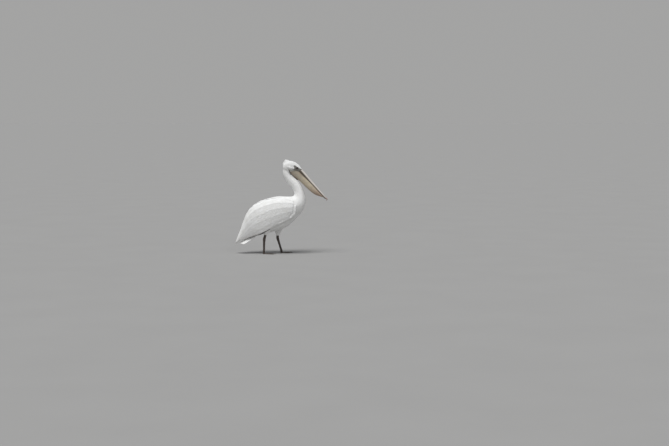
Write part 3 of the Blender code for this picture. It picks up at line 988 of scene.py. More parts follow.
def gap_to(places: Array, corners: Array, closed: bool = False) -> Array:
    """How far places are from a chain of straight lines.

    Args:
        places: Points of the side view.
        corners: The chain's corners.
        closed: Whether it goes on from the last corner to the first.

    Returns:
        The distance to the nearest line.
    """
    start, end = (corners, np.roll(corners, -1, 0)) if closed else (corners[:-1], corners[1:])
    edge = end - start
    best = np.full(len(places), 1e9)
    for a, run in zip(start, edge):
        t = np.clip((places - a) @ run / max(run @ run, 1e-12), 0, 1)
        best = np.minimum(best, np.linalg.norm(places - a - t[:, None] * run, axis=1))
    return best


def inside_by(places: Array, corners: Array) -> Array:
    """How far places are inside a polygon.

    Args:
        places: Points of the side view.
        corners: The polygon's corners.

    Returns:
        The distance to its nearest edge, negative outside.
    """
    start, end = corners, np.roll(corners, -1, 0)
    edge = end - start
    above = (start[:, 1] > places[:, 1:]) != (end[:, 1] > places[:, 1:])
    with np.errstate(divide="ignore", invalid="ignore"):
        cross = edge[:, 0] * (places[:, 1:] - start[:, 1]) / edge[:, 1] + start[:, 0]
    within = (above & (places[:, :1] < cross)).sum(1) % 2 == 1
    return np.where(within, 1, -1) * gap_to(places, corners, True)


@dataclass(frozen=True)
class Ridge:
    """A low swelling or crease of the form, along a line of the side view.

    Attributes:
        line: Its places.
        reach: How far it reaches from the line.
        height: How far it stands out. A negative one is a crease.
        groups: The parts it is on.
    """

    line: tuple[Pair, ...]
    reach: float
    height: float
    groups: tuple[Group, ...]


RIDGES: tuple[Ridge, ...] = (
    # the folded wrist and the front edge of the wing
    Ridge(
        ((0.149, 0.505), (0.150, 0.487), (0.147, 0.434), (0.135, 0.416), (0.119, 0.402), (0.100, 0.384)),
        0.017,
        0.0075,
        (Group.WING,),
    ),
    Ridge(((0.126, 0.500), (0.126, 0.450), (0.112, 0.424), (0.090, 0.404)), 0.010, -0.0030, (Group.WING,)),
    # feathers that bulge over the lower edge
    Ridge(((-0.022, 0.318), (0.022, 0.343)), 0.016, 0.0050, (Group.WING,)),
    # the cheek
    Ridge(((0.074, 0.911), (0.100, 0.903), (0.130, 0.896)), 0.016, 0.0070, (Group.HEAD, Group.NECK)),
    # the crease between jaw and neck
    Ridge(CREASE, 0.009, -0.0035, (Group.HEAD, Group.NECK, Group.POUCH)),
)


@dataclass(frozen=True)
class BillFrame:
    """Measures along and across the bill.

    Attributes:
        plan: Where the bird's plan lies.
        base: Where the forehead's feathers end on the ridge.
        culmen: The upper bill's length.
        dip: How far it points below level, in degrees.
    """

    plan: Plan
    base: Pair = (0.213, 0.893)
    culmen: float = 0.424
    dip: float = 49.6

    def spot(self, along: Array | float, up: Array | float, y: Array | float) -> Array:
        """Finds points from measures along the bill.

        Args:
            along: Metres towards the tip.
            up: Metres up from the ridge.
            y: Metres to the left.

        Returns:
            The points in the frame.
        """
        dip = math.radians(self.dip)
        x = self.base[0] + self.plan.shift + along * math.cos(dip) + up * math.sin(dip)
        z = self.base[1] - along * math.sin(dip) + up * math.cos(dip)
        return np.stack(np.broadcast_arrays(x, y, z), -1).astype(float)

    def measure(self, points: Array) -> tuple[Array, Array]:
        """Finds measures along the bill from points.

        Args:
            points: Points of the frame.

        Returns:
            Shares of the bill's length, and metres down from the ridge.
        """
        dip = math.radians(self.dip)
        x, z = points[:, 0] - self.base[0] - self.plan.shift, points[:, 2] - self.base[1]
        return (x * math.cos(dip) - z * math.sin(dip)) / self.culmen, -(x * math.sin(dip) + z * math.cos(dip))


@dataclass
class Form:
    """The smooth outer form of the feathered bird, and what the coat is like at each of its points.

    Attributes:
        plan: Where the bird's plan lies.
        bill: Measures along the bill.
        voxel: The size of the form's mesh.
        rounds: How often it is smoothed.
    """

    plan: Plan
    bill: BillFrame
    voxel: float = 0.0034
    rounds: int = 36
    points: Array = field(init=False)
    normals: Array = field(init=False)
    quads: Array = field(init=False)
    edges: Array = field(init=False)
    groups: Array = field(init=False)
    flow: Array = field(init=False)
    length: Array = field(init=False)
    width: Array = field(init=False)
    depth: Array = field(init=False)
    bend: Array = field(init=False)
    bare: Array = field(init=False)
    pouch: Array = field(init=False)
    tree: KDTree = field(init=False)
    surface: BVHTree = field(init=False)

    def build(self) -> None:
        """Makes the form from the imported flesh, and reads the guides over it."""
        nodes = [node for group in FLESH.values() for node in group]
        blank = copy_nodes(nodes, "form", 0.0011)
        self._fill_in(blank)
        modify(blank, "REMESH", mode="VOXEL", voxel_size=self.voxel)
        settled(blank)
        self.edges = edges_of(blank)
        self.points = rounded(self.edges, points_of(blank), self.rounds)
        self.quads = read(blank.data, "polygons", "vertices", 4, np.int32)
        move_points(blank, self.points)
        self.normals = normals_of(blank)
        self.groups = self._nearest_group()
        self._raise_ridges()
        move_points(blank, self.points)
        self.normals = normals_of(blank)
        bpy.data.objects.remove(blank)
        self._read_guides()
        self._find_bend()
        self.surface = BVHTree.FromPolygons(self.points.tolist(), self.quads.tolist())
        self.tree = tree_of(self.points)

    def _fill_in(self, blank: Object) -> None:
        """Adds what closes the throat's crease, wraps the root of the bill and lies between the folded wings.

        Args:
            blank: The mesh that it is added to.
        """
        turn = np.linspace(0, 2 * math.pi, 20, endpoint=False)
        throat, collar, cleft = [], [], []
        for n, (x, z) in enumerate(through(THROAT, 14)):
            size = math.sqrt(math.sin(math.pi * (n + 0.7) / 14.4))
            wide, thick = 0.0165 * size * np.cos(turn), 0.0062 * size * np.sin(turn)
            centre = np.array(self.plan.place(x, 0, z))
            throat.append(centre + np.stack([thick * 0.8, wide, thick * 0.6], 1))
        for along, half, depth in BILL_ROOT:
            up = -0.0004 - depth * (1 - np.cos(turn)) / 2
            side = half * np.sign(np.sin(turn)) * np.abs(np.sin(turn)) ** 0.5
            collar.append(self.bill.spot(along, up, side))
        for x, z, half, thick in through(BETWEEN_WINGS, 26):
            centre, front = np.array(self.plan.place(x, 0, z)), thick * np.cos(turn)
            cleft.append(centre + np.stack([front, half * np.sin(turn), 0.5 * front], 1))
        whole = bmesh.new()
        whole.from_mesh(blank.data)
        for rings in (throat, collar, cleft):
            extra = tube("extra", np.array(rings))
            whole.from_mesh(extra.data)
            bpy.data.objects.remove(extra)
        whole.to_mesh(blank.data)
        whole.free()

    def side_view(self) -> Array:
        """The points in the bird's own plan, as seen from its side."""
        return self.points[:, [0, 2]] - np.array([self.plan.shift, 0])

    def _raise_ridges(self) -> None:
        """Lifts the swellings and sinks the creases."""
        places = self.side_view()
        rise = np.zeros(len(places))
        for ridge in RIDGES:
            chosen = np.isin(self.groups, [group.value for group in ridge.groups])
            near = 1 - smooth_step(gap_to(places[chosen], np.array(ridge.line)), 0, ridge.reach)
            rise[chosen] += ridge.height * near * np.abs(self.normals[chosen, 1])
        self.points = self.points + self.normals * spread_out(self.edges, rise, 2)[:, None]

    def _nearest_group(self) -> Array:
        """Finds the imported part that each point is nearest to.

        Returns:
            The number of its group for each point.
        """
        best = np.full(len(self.points), 1e9)
        groups = np.zeros(len(self.points), int)
        for group, nodes in FLESH.items():
            part = copy_nodes(nodes, "part", 0.0)
            tree = BVHTree.FromObject(part, bpy.context.evaluated_depsgraph_get())
            gaps = np.array([tree.find_nearest(point)[3] for point in self.points])
            bpy.data.objects.remove(part)
            nearer = gaps < best
            best[nearer], groups[nearer] = gaps[nearer], group.value
        return groups

    def _read_guides(self) -> None:
        """Spreads the guides' values over the form."""
        count = len(self.points)
        values = np.zeros((count, 5))
        side_view = self.side_view()
        winged = self.groups == Group.WING.value
        for guides, chosen in ((BODY_GUIDES, ~winged), (WING_GUIDES, winged)):
            places = np.array([g.at for g in guides])
            turns = np.radians([g.turn for g in guides])
            rows = np.array([(g.length, g.width, g.depth) for g in guides])
            rows = np.concatenate([np.cos(turns)[:, None], np.sin(turns)[:, None], rows], 1)
            gaps = np.linalg.norm(side_view[chosen][:, None] - places, axis=-1)
            share = 1 / (gaps**2 + 0.012**2) ** 1.6
            values[chosen] = (share / share.sum(1, keepdims=True)) @ rows
        flow = np.stack([values[:, 0], np.zeros(count), values[:, 1]], 1)
        for _ in range(3):
            flow = unit(flow - (flow * self.normals).sum(1, keepdims=True) * self.normals)
            flow = spread_out(self.edges, flow, 4)
        self.flow = unit(flow - (flow * self.normals).sum(1, keepdims=True) * self.normals)
        self.length, self.width = values[:, 2], values[:, 3]
        inside = inside_by(side_view, np.array(FACE))
        headed = (self.groups == Group.HEAD.value) | (self.groups == Group.NECK.value)
        self.pouch = spread_out(self.edges, (self.groups == Group.POUCH.value).astype(float), 4)
        self.bare = np.maximum(smooth_step(inside, -0.001, 0.002) * headed, smooth_step(self.pouch, 0.3, 0.6))
        thin = np.maximum(smooth_step(inside, -0.004, 0.001) * headed, smooth_step(self.pouch, 0.05, 0.4))
        self.depth = spread_out(self.edges, values[:, 4] * (1 - thin), 12)

    def _find_bend(self) -> None:
        """Works out how sharply the form curves across the lie of the coat."""
        aside = np.cross(self.normals, self.flow)
        i, j = self.edges.T
        step = self.points[j] - self.points[i]
        size = np.maximum((step**2).sum(1), 1e-12)
        curve = ((self.normals[j] - self.normals[i]) * step).sum(1) / size
        total, weights = np.zeros(len(self.points)), np.zeros(len(self.points))
        for k in (i, j):
            share = ((step * aside[k]).sum(1) ** 2 / size) ** 2
            total += np.bincount(k, curve * share, len(total))
            weights += np.bincount(k, share, len(total))
        self.bend = np.clip(spread_out(self.edges, total / np.maximum(weights, 1e-9), 10), -4, 38)

    def nearest(self, points: Array) -> Array:
        """The index of the form's point nearest to each of some others."""
        return np.array([self.tree.find(point)[1] for point in points], int)

    def drop_on(self, x: Array, z: Array, side: int) -> tuple[Array, Array]:
        """Finds the places where lines from one side meet the form.

        Args:
            x: How far ahead each line runs, in the bird's plan.
            z: How high.
            side: -1 for the right side and 1 for the left.

        Returns:
            The places and their normals, in the shape of x.
        """
        places, normals = np.empty((x.size, 3)), np.empty((x.size, 3))
        for n, (ahead, up) in enumerate(zip((x + self.plan.shift).ravel().tolist(), z.ravel().tolist())):
            hit = self.surface.ray_cast(Vector((ahead, side, up)), Vector((0, -side, 0)))
            if hit[0] is None or hit[0].y * side < 0:
                hit = self.surface.find_nearest(Vector((ahead, side * 0.09, up)))
            places[n], normals[n] = hit[0], self.normals[self.tree.find(hit[0])[1]]
        places[:, 0], places[:, 2] = (x + self.plan.shift).ravel(), z.ravel()
        return places.reshape(*x.shape, 3), normals.reshape(*x.shape, 3)

    def skin_points(self) -> Array:
        """Sinks the form by the coat's depth, less where the form is thin.

        Returns:
            The points of the skin.
        """
        start, down = (self.points - self.normals * 0.0005).tolist(), (-self.normals).tolist()
        room = np.array([self.surface.ray_cast(*line)[3] or 1.0 for line in zip(start, down)])
        depth = spread_out(self.edges, np.minimum(self.depth, 0.3 * room), 6)
        return self.points - self.normals * depth[:, None]


@dataclass
class Unwrap:
    """A flat layout of the skin, on which each feather has a small patch at its root's place.

    Attributes:
        form: The form whose skin is laid out.
        patch: How wide a feather's patch is.
        kept: The share of the form's faces that the layout keeps.
        fold: How sharply a patch of the layout may turn, in degrees.
    """

    form: Form
    patch: float = 0.003
    kept: float = 0.05
    fold: float = 66
    points: Array = field(init=False)
    layout: Array = field(init=False)
    tree: BVHTree = field(init=False)

    def build(self) -> None:
        """Lays out a light copy of the skin."""
        light = new_object("layout", self.form.points, self.form.quads)
        modify(light, "DECIMATE", ratio=self.kept)
        modify(light, "TRIANGULATE")
        settled(light)
        bpy.context.view_layer.objects.active = light
        light.select_set(True)
        bpy.ops.object.mode_set(mode="EDIT")
        bpy.ops.mesh.select_all(action="SELECT")
        bpy.ops.uv.smart_project(angle_limit=math.radians(self.fold), island_margin=0.006)
        bpy.ops.object.mode_set(mode="OBJECT")
        mesh = light.data
        corners = read(mesh, "polygons", "vertices", 3, np.int32)
        self.points = points_of(light)[corners]
        self.layout = read(mesh.uv_layers.active, "uv", "vector", 2).reshape(-1, 3, 2)
        self.tree = BVHTree.FromPolygons(points_of(light).tolist(), corners.tolist())
        bpy.data.objects.remove(light)

    def at(self, roots: Array) -> Array:
        """Finds the places of roots on the layout.

        Args:
            roots: The roots.

        Returns:
            A place on the layout for each.
        """
        found = [self.tree.find_nearest(root) for root in roots]
        index = np.array([hit[2] for hit in found])
        place = np.array([hit[0] for hit in found])
        a, b, c = self.points[index].transpose(1, 0, 2)
        whole = np.cross(b - a, c - a)
        size = np.maximum((whole**2).sum(1), 1e-18)
        first = (np.cross(c - b, place - b) * whole).sum(1) / size
        second = (np.cross(a - c, place - c) * whole).sum(1) / size
        share = np.stack([first, second, 1 - first - second], 1)
        return np.clip((share[..., None] * self.layout[index]).sum(1), 0.002, 0.998)


# Feathers

SHARP_EDGE = 110  # degrees between the two sides of a vane's rim


@dataclass(frozen=True)
class Vane:
    """The cut of one kind of feather.

    Attributes:
        along: Shares of the length at which its sections lie.
        widths: Shares of the half width at those sections.
        columns: How many faces go across it.
        thickness: How thick it is at the shaft.
        arch: How far its edges droop, as a share of the half width.
        ragged: How uneven its edges are.
    """

    along: tuple[float, ...]
    widths: tuple[float, ...]
    columns: int
    thickness: float
    arch: float = 0.12
    ragged: float = 0.10


TUFT = Vane((0, 0.35, 0.75, 1), (0.45, 1.0, 0.80, 0.12), 2, 0.0006, 0.12, 0.12)
SHORT = Vane((0, 0.22, 0.55, 0.84, 1), (0.40, 0.85, 1.0, 0.72, 0.12), 2, 0.0007, 0.10, 0.12)
ROUND = Vane(
    (0, 0.15, 0.40, 0.65, 0.83, 0.94, 1),
    (0.35, 0.75, 0.98, 1.0, 0.86, 0.56, 0.12),
    4, 0.0008, 0.10, 0.06,
)
LANCE = Vane((0, 0.18, 0.45, 0.70, 0.88, 1), (0.35, 0.82, 1.0, 0.90, 0.58, 0.10), 4, 0.0008, 0.10, 0.09)
PLUME = Vane(
    (0, 0.10, 0.25, 0.42, 0.60, 0.76, 0.88, 0.95, 1),
    (0.30, 0.66, 0.92, 1.0, 0.97, 0.84, 0.62, 0.38, 0.06),
    4, 0.0009, 0.14, 0.05,
)
QUILL = Vane(
    (0, 0.08, 0.20, 0.34, 0.48, 0.62, 0.75, 0.86, 0.94, 0.98, 1),
    (0.30, 0.62, 0.85, 0.97, 1.0, 1.0, 0.97, 0.88, 0.68, 0.42, 0.10),
    6, 0.0011, 0.14, 0.03,
)


@dataclass
class Feathers:
    """Many feathers of one cut, as solid vanes in one piece.

    Attributes:
        name: The piece's name.
        vane: Their cut.
        shafts: Points down each shaft, as (feather, section, xyz).
        normals: The way each section faces, likewise.
        width: Half the width of each feather.
        bend: How sharply each section curves across, likewise or one number for each feather.
        twist: How far each feather is turned about its shaft, in radians.
    """

    name: str
    vane: Vane
    shafts: Array
    normals: Array
    width: Array
    bend: Array
    twist: Array

    def build(self, unwrap: Unwrap, finish: Material, slot: str, *nodes: str) -> None:
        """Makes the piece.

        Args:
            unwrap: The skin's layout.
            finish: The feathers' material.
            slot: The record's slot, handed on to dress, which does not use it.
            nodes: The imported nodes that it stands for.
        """
        rng = seed_of(self.name)
        vane, count = self.vane, len(self.shafts)
        rows, columns = len(vane.along), vane.columns + 1
        across = np.linspace(-1, 1, columns)
        tangent = unit(np.gradient(self.shafts, axis=1))
        aside = unit(np.cross(self.normals, tangent))
        upward = unit(np.cross(tangent, aside))
        cos, sin = np.cos(self.twist)[:, None, None], np.sin(self.twist)[:, None, None]
        aside, upward = aside * cos + upward * sin, upward * cos - aside * sin
        half = self.width[:, None] * np.array(vane.widths)
        uneven = 1 + vane.ragged * rng.uniform(-1, 1, (count, rows, 2))
        reach = half[..., None] * np.where(across < 0, uneven[..., :1], uneven[..., 1:]) * across
        bend = np.broadcast_to(np.asarray(self.bend).reshape(count, -1), (count, rows))
        droop = vane.arch * half[..., None] * across**2 + 0.5 * bend[..., None] * reach**2
        top = self.shafts[:, :, None] + aside[:, :, None] * reach[..., None]
        top = top - upward[:, :, None] * droop[..., None]
        swell = vane.thickness * (1 - across**2)
        under = top[:, 1:-1, 1:-1] - upward[:, 1:-1, None] * swell[1:-1, None]
        points = np.concatenate([top.reshape(count, -1, 3), under.reshape(count, -1, 3)], 1)
        faces = self._faces(rows, columns)
        each = points.shape[1]
        whole = (faces[None] + each * np.arange(count)[:, None, None]).reshape(-1, 4)
        piece = new_object(self.name, points.reshape(-1, 3), whole)
        self._lay_out(piece, unwrap, reach, across)
        tips = np.broadcast_to(np.array(vane.along)[:, None], (rows, columns))
        tips = np.concatenate([tips.ravel(), tips[1:-1, 1:-1].ravel()])
        set_attributes(piece, tint=np.repeat(rng.uniform(0, 1, count), each), tip=np.tile(tips, count))
        piece.data.set_sharp_from_angle(angle=math.radians(SHARP_EDGE))
        dress(piece, finish, slot, *nodes)
        LOG.info("%s: %d feathers, %d triangles", self.name, count, 2 * len(whole))

    @staticmethod
    def _faces(rows: int, columns: int) -> Array:
        """The faces of one closed vane.

        Args:
            rows: How many sections it has.
            columns: How many points go across.

        Returns:
            The corners of its faces, top and underside.
        """
        top = np.arange(rows * columns).reshape(rows, columns)
        under = top.copy()
        under[1:-1, 1:-1] = rows * columns + np.arange((rows - 2) * (columns - 2)).reshape(rows - 2, -1)
        quads = []
        for grid, flip in ((top, False), (under, True)):
            corners = [grid[:-1, :-1], grid[:-1, 1:], grid[1:, 1:], grid[1:, :-1]]
            quads.append(np.stack(corners[::-1] if flip else corners, -1).reshape(-1, 4))
        return np.concatenate(quads)

    def _lay_out(self, piece: Object, unwrap: Unwrap, reach: Array, across: Array) -> None:
        """Gives the piece its two maps: one down each vane, and one on the skin's layout.

        Args:
            piece: The piece.
            unwrap: The skin's layout.
            reach: How far each point is from the shaft.
            across: The same, as a share of the half width.
        """
        corners = read(piece.data, "loops", "vertex_index", 1, np.int32).ravel()
        count = len(reach)
        steps = np.linalg.norm(np.diff(self.shafts, axis=1), axis=2)
        down = np.concatenate([np.zeros((count, 1)), np.cumsum(steps, 1)], 1)
        vane = np.stack([reach, np.broadcast_to(down[..., None], reach.shape)], -1)
        share = np.array(self.vane.along)[:, None] - 0.5
        patch = np.stack(np.broadcast_arrays(across / 2, share), -1)
        place = unwrap.at(self.shafts[:, 0])[:, None, None] + patch * unwrap.patch
        for name, grid in (("OFBake", place), ("Vane", vane)):
            inner = grid[:, 1:-1, 1:-1].reshape(count, -1, 2)
            full = np.concatenate([grid.reshape(count, -1, 2), inner], 1).reshape(-1, 2)
            layer = piece.data.uv_layers.new(name=name)
            layer.uv.foreach_set("vector", np.ascontiguousarray(full[corners], np.float32).ravel())


@dataclass
class Shafts:
    """Shafts that lie along the form.

    Attributes:
        points: Their points, as (shaft, section, xyz).
        normals: The form's normals there.
        bend: How sharply the form curves across them, as (shaft, section).
        depth: The coat's depth.
        held: The share of its length up to which each lies on the form.
    """

    points: Array
    normals: Array
    bend: Array
    depth: Array
    held: Array

    @classmethod
    def follow(
        cls, form: Form, roots: Array, length: Array, along: Sequence[float], stray: Array, yields: Pair
    ) -> "Shafts":
        """Runs shafts over the form from their roots, along the lie of the coat.

        Args:
            form: The form.
            roots: Where they start.
            length: How long each is.
            along: Shares of the length at which points are wanted.
            stray: How far each strays from the lie of the coat, in radians.
            yields: Cosines of the sharpest turns before a shaft runs straight on: of a section, and in all.

        Returns:
            The shafts.
        """
        places, index = roots.copy(), form.nearest(roots)
        turn, twist = np.cos(stray)[:, None], np.sin(stray)[:, None]
        heading, normal = np.zeros_like(places), form.normals[index]
        first, loose, held = normal, np.zeros((len(roots), 1), bool), np.ones(len(roots))
        made: list[tuple[Array, ...]] = []
        for n, share in enumerate(along):
            if n:
                places = places + heading * (length * (share - along[n - 1]))[:, None]
                index = form.nearest(places)
                gap = places - form.points[index]
                turned = (form.normals[index] * normal).sum(1, keepdims=True) < yields[0]
                turned |= (form.normals[index] * first).sum(1, keepdims=True) < yields[1]
                loose = loose | turned | (np.linalg.norm(gap, axis=1, keepdims=True) > 2.2 * form.voxel)
                held = np.where(loose[:, 0] & (held == 1), along[n - 1], held)
                normal = np.where(loose, normal, form.normals[index])
                places = np.where(loose, places, places - (gap * normal).sum(1, keepdims=True) * normal)
            flow = form.flow[index]
            wanted = flow * turn + np.cross(form.normals[index], flow) * twist
            heading = np.where(loose, heading, wanted)
            made.append((places, normal, form.bend[index], form.depth[index]))
        points, normals, bend, depth = (np.stack(rows, 1) for rows in zip(*made))
        return cls(points, normals, bend, depth, held)


@dataclass
class Layer:
    """A layer of feathers that covers part of the form, each lying along it.

    Attributes:
        name: The piece's name.
        vane: The feathers' cut.
        where: How thickly each point of the form is feathered, from 0 to 1.
        grow: Scales the guides' lengths.
        widen: Scales the guides' widths.
        lift: How high the tips are above the form, as a share of the coat's depth.
        stray: How far they stray from the lie of the coat, in degrees.
        room: How much room each has, along and across, as shares of its length and half width.
        curl: How far the tips stand off, as a share of the length.
        rise: How soon a feather comes up from its root.
        over: How far a feather may reach past the form's edge.
        yields: Cosines of the sharpest turns that a feather makes: from section to section, and in all.
        keeps: Tells which feathers are kept, from where their tips are.
    """

    name: str
    vane: Vane
    where: Array
    grow: float = 1.0
    widen: float = 1.0
    lift: float = 0.07
    stray: float = 6.0
    room: Pair = (0.20, 1.0)
    curl: float = 0.0
    rise: float = 2.8
    over: float = 0.0
    yields: Pair = (0.45, 0.50)
    keeps: Callable[[Array], Array] | None = None

    def roots(self, form: Form) -> tuple[Array, Array]:
        """Scatters roots over the form, none too near another.

        Args:
            form: The form.

        Returns:
            Indices of the form's points nearest to the roots, and the roots.
        """
        rng = seed_of(self.name)
        wanted = self.where.astype(float)
        along, across = self.room[0] * self.grow * form.length, self.room[1] * self.widen * form.width
        corners = form.points[form.quads]
        across_face = corners[:, 2] - corners[:, 0], corners[:, 3] - corners[:, 1]
        area = np.linalg.norm(np.cross(*across_face), axis=1) / 2
        first = form.quads[:, 0]
        share = area * wanted[first] / (along * across)[first]
        count = int(share.sum() * 5)
        picked = rng.choice(len(first), count, p=share / share.sum())
        u, v = rng.uniform(0, 1, (2, count, 1))
        a, b, c, d = corners[picked].transpose(1, 0, 2)
        places = (a * (1 - u) + b * u) * (1 - v) + (d * (1 - u) + c * u) * v
        index = form.quads[picked, 0]
        kept = keep_apart(places, form.flow[index], along[index], across[index])
        return index[kept], places[kept]

    def build(self, form: Form, unwrap: Unwrap, finish: Material) -> None:
        """Makes the piece.

        Args:
            form: The form.
            unwrap: The skin's layout.
            finish: The feathers' material.
        """
        index, places = self.roots(form)
        rng = seed_of(self.name + "_shape")
        count, t = len(index), np.array(self.vane.along)
        length = form.length[index] * self.grow * rng.uniform(0.84, 1.16, count)
        width = form.width[index] * self.widen * rng.uniform(0.90, 1.10, count)
        stray = rng.normal(0, math.radians(self.stray), count)
        twist = rng.normal(0, math.radians(1.5), count)
        lift = self.lift * rng.uniform(0.3, 1.7, count)
        curl = self.curl * rng.uniform(0, 1, count) * length
        trial = Shafts.follow(form, places, length, self.vane.along, stray, self.yields)
        over = self.over * rng.uniform(0.2, 1.8, count)
        length = length * np.where(trial.held < 1, np.minimum(trial.held + over / length, 1), 1)
        kept = trial.held > 0.45
        if self.keeps is not None:
            kept &= self.keeps(trial.points[:, -1])
        places, length, width, stray, twist, lift, curl = (
            rows[kept] for rows in (places, length, width, stray, twist, lift, curl)
        )
        shafts = Shafts.follow(form, places, length, self.vane.along, stray, self.yields)
        height = shafts.depth * ((1.05 + lift[:, None]) * (1 - (1 - t) ** self.rise) - 1.05)
        height = height + curl[:, None] * t**2.5
        points = shafts.points + shafts.normals * height[..., None]
        bend = np.minimum(shafts.bend, 0.5 / width[:, None])
        feathers = Feathers(self.name, self.vane, points, shafts.normals, width, bend, twist)
        feathers.build(unwrap, finish, "plumage")


def keep_apart(points: Array, flow: Array, along: Array, across: Array) -> list[int]:
    """Picks points so that each has an oval of room to itself.

    Args:
        points: The points to pick from, the first ones first.
        flow: The way each oval points.
        along: Half its length.
        across: Half its breadth.

    Returns:
        The indices of the points that are kept.
    """
    cell = float(max(along.max(), across.max()))
    keys = np.floor(points / cell).astype(int)
    grid: dict[tuple[int, int, int], list[tuple[float, ...]]] = {}
    kept: list[int] = []
    nearby = [(i, j, k) for i in (-1, 0, 1) for j in (-1, 0, 1) for k in (-1, 0, 1)]
    rows = np.concatenate([points, flow, 1 / along[:, None] ** 2, 1 / across[:, None] ** 2], 1).tolist()
    for n, (x, y, z, fx, fy, fz, ia, ib) in enumerate(rows):
        a, b, c = keys[n].tolist()
        free = True
        for i, j, k in nearby:
            for qx, qy, qz in grid.get((a + i, b + j, c + k), ()):
                dx, dy, dz = x - qx, y - qy, z - qz
                run = dx * fx + dy * fy + dz * fz
                if run * run * ia + (dx * dx + dy * dy + dz * dz - run * run) * ib < 1:
                    free = False
                    break
            if not free:
                break
        if free:
            grid.setdefault((a, b, c), []).append((x, y, z))
            kept.append(n)
    return kept


# Pieces of the bird


@dataclass
class Skin:
    """The one skin that stands for all the nodes of flesh, from the face and pouch to the wings and thighs.

    Attributes:
        form: The outer form it lies under.
        eye: The middle of the right eye.
        bill: Measures along the bill.
        fold: How high the pouch's folds are.
        wrinkle: How high the face's wrinkles are.
        coarse: The share of the faces that are kept under the feathers.
        fine: How far from the eye the faces are split once more.
        shares: Places along the bill at which the pouch's depth is given.
        rods: How far down the lower bill's edge is there.
        depths: How far down the pouch hangs there.
    """

    form: Form
    eye: Vector
    bill: BillFrame
    fold: float = 0.0020
    wrinkle: float = 0.0009
    coarse: float = 0.30
    fine: float = 0.062
    shares: tuple[float, ...] = (-0.230, -0.15, 0.00, 0.17, 0.45, 0.60, 0.71, 0.81, 0.90)
    rods: tuple[float, ...] = (0.034, 0.036, 0.037, 0.032, 0.024, 0.021, 0.018, 0.016, 0.014)
    depths: tuple[float, ...] = (0.108, 0.124, 0.122, 0.102, 0.091, 0.082, 0.069, 0.044, 0.020)

    def build(self, finish: Material) -> None:
        """Makes the skin: coarse under the feathers and fine where it is bare.

        Args:
            finish: Its material.
        """
        form = self.form
        skin = new_object("skin", form.skin_points(), form.quads)
        pouch = smooth_step(spread_out(form.edges, form.pouch, 14), 0.30, 0.80)
        set_attributes(skin, bare=form.bare, pouch=pouch)
        covered = skin.vertex_groups.new(name="covered")
        covered.add(np.flatnonzero(spread_out(form.edges, form.bare, 2) < 0.004).tolist(), 1.0, "REPLACE")
        modify(skin, "DECIMATE", ratio=self.coarse, vertex_group="covered")
        settled(skin)
        skin.vertex_groups.clear()
        self._refine(skin, 1.0)
        self._refine(skin, self.fine)
        self._wrinkle(skin)
        skin.data.shade_smooth()
        dress(skin, finish, "plumage", *(node for group in FLESH.values() for node in group))
        skin.data.calc_loop_triangles()
        LOG.info("skin: %d triangles", len(skin.data.loop_triangles))

    def _refine(self, skin: Object, reach: float) -> None:
        """Splits the bare faces near the eye, and rounds them.

        Args:
            skin: The skin.
            reach: How far from the eye faces are split, in the side view.
        """
        shape = bmesh.new()
        shape.from_mesh(skin.data)
        bare = shape.verts.layers.float["bare"]
        near = {v for v in shape.verts if v[bare] > 0.05 and (v.co - self.eye).xz.length < reach}
        edges = [edge for edge in shape.edges if edge.verts[0] in near and edge.verts[1] in near]
        bmesh.ops.subdivide_edges(shape, edges=edges, cuts=1, use_grid_fill=True)
        shape.to_mesh(skin.data)
        shape.free()
        points = points_of(skin)
        share = smooth_step(read(skin.data.attributes["bare"], "data", "value", 1), 0.05, 0.4)
        even = rounded(edges_of(skin), points, 3)
        move_points(skin, points + (even - points) * share)

    def _wrinkle(self, skin: Object) -> None:
        """Presses folds into the bare skin, and gives each point what its colour comes from.

        Args:
            skin: The skin.
        """
        points, normals = points_of(skin), normals_of(skin)
        held = skin.data.attributes
        bare, pouch = (read(held[name], "data", "value", 1).ravel() for name in ("bare", "pouch"))
        share, down = self.bill.measure(points)
        rod, depth = np.interp(share, self.shares, self.rods), np.interp(share, self.shares, self.depths)
        fall = (down - rod) / np.maximum(depth - rod, 0.006)
        along = np.stack([share * self.bill.culmen, points[:, 1]], 1)
        sway = 0.55 * ripple(along, 0.09, "fold") + 0.25 * ripple(along, 0.03, "crease")
        folds = np.abs(np.sin(math.pi * (9 * fall + sway))) ** 0.7
        folds = folds * (0.6 + 0.4 * ripple(along, 0.05, "deep")) * np.clip((depth - rod) / 0.06, 0, 1)
        height = self.fold * (folds - 0.6) * pouch * smooth_step(fall, 0.02, 0.18)
        gap = np.hypot(points[:, 0] - self.eye.x, (points[:, 2] - self.eye.z) * 1.12)
        rings = np.sin(gap * 2 * math.pi / 0.0036 + 1.6 * ripple(points, 0.022, "rings"))
        rings *= smooth_step(-gap, -0.030, -0.012)
        face = 0.7 * rings + 0.25 * ripple(points, 0.0048, "face") + 0.5 * ripple(points, 0.011, "cheek")
        face = self.wrinkle * face
        height += face * (1 - pouch) * smooth_step(gap, 0.009, 0.012)
        move_points(skin, points + normals * (height * bare)[:, None])
        below, behind = self.eye.z - points[:, 2], self.eye.x - points[:, 0]
        off = gap_to(points[:, [0, 2]] - [self.bill.plan.shift, 0], np.array(CREASE))
        # painted shade along the crease between jaw and neck, within about 12 mm of its line and stronger below
        # the cheek
        deep = smooth_step(-points[:, 2], -0.900, -0.850)
        set_attributes(
            skin,
            ring=1 - smooth_step(gap, 0.0095, 0.0150),
            low=smooth_step(below, 0.004, 0.020),
            jaw=smooth_step(below, 0.006, 0.022) * smooth_step(behind, 0.015, 0.050),
            crease=(1 - smooth_step(off, 0.0040, 0.0125)) * (0.54 + 0.46 * deep),
            share=share,
            fall=fall,
        )


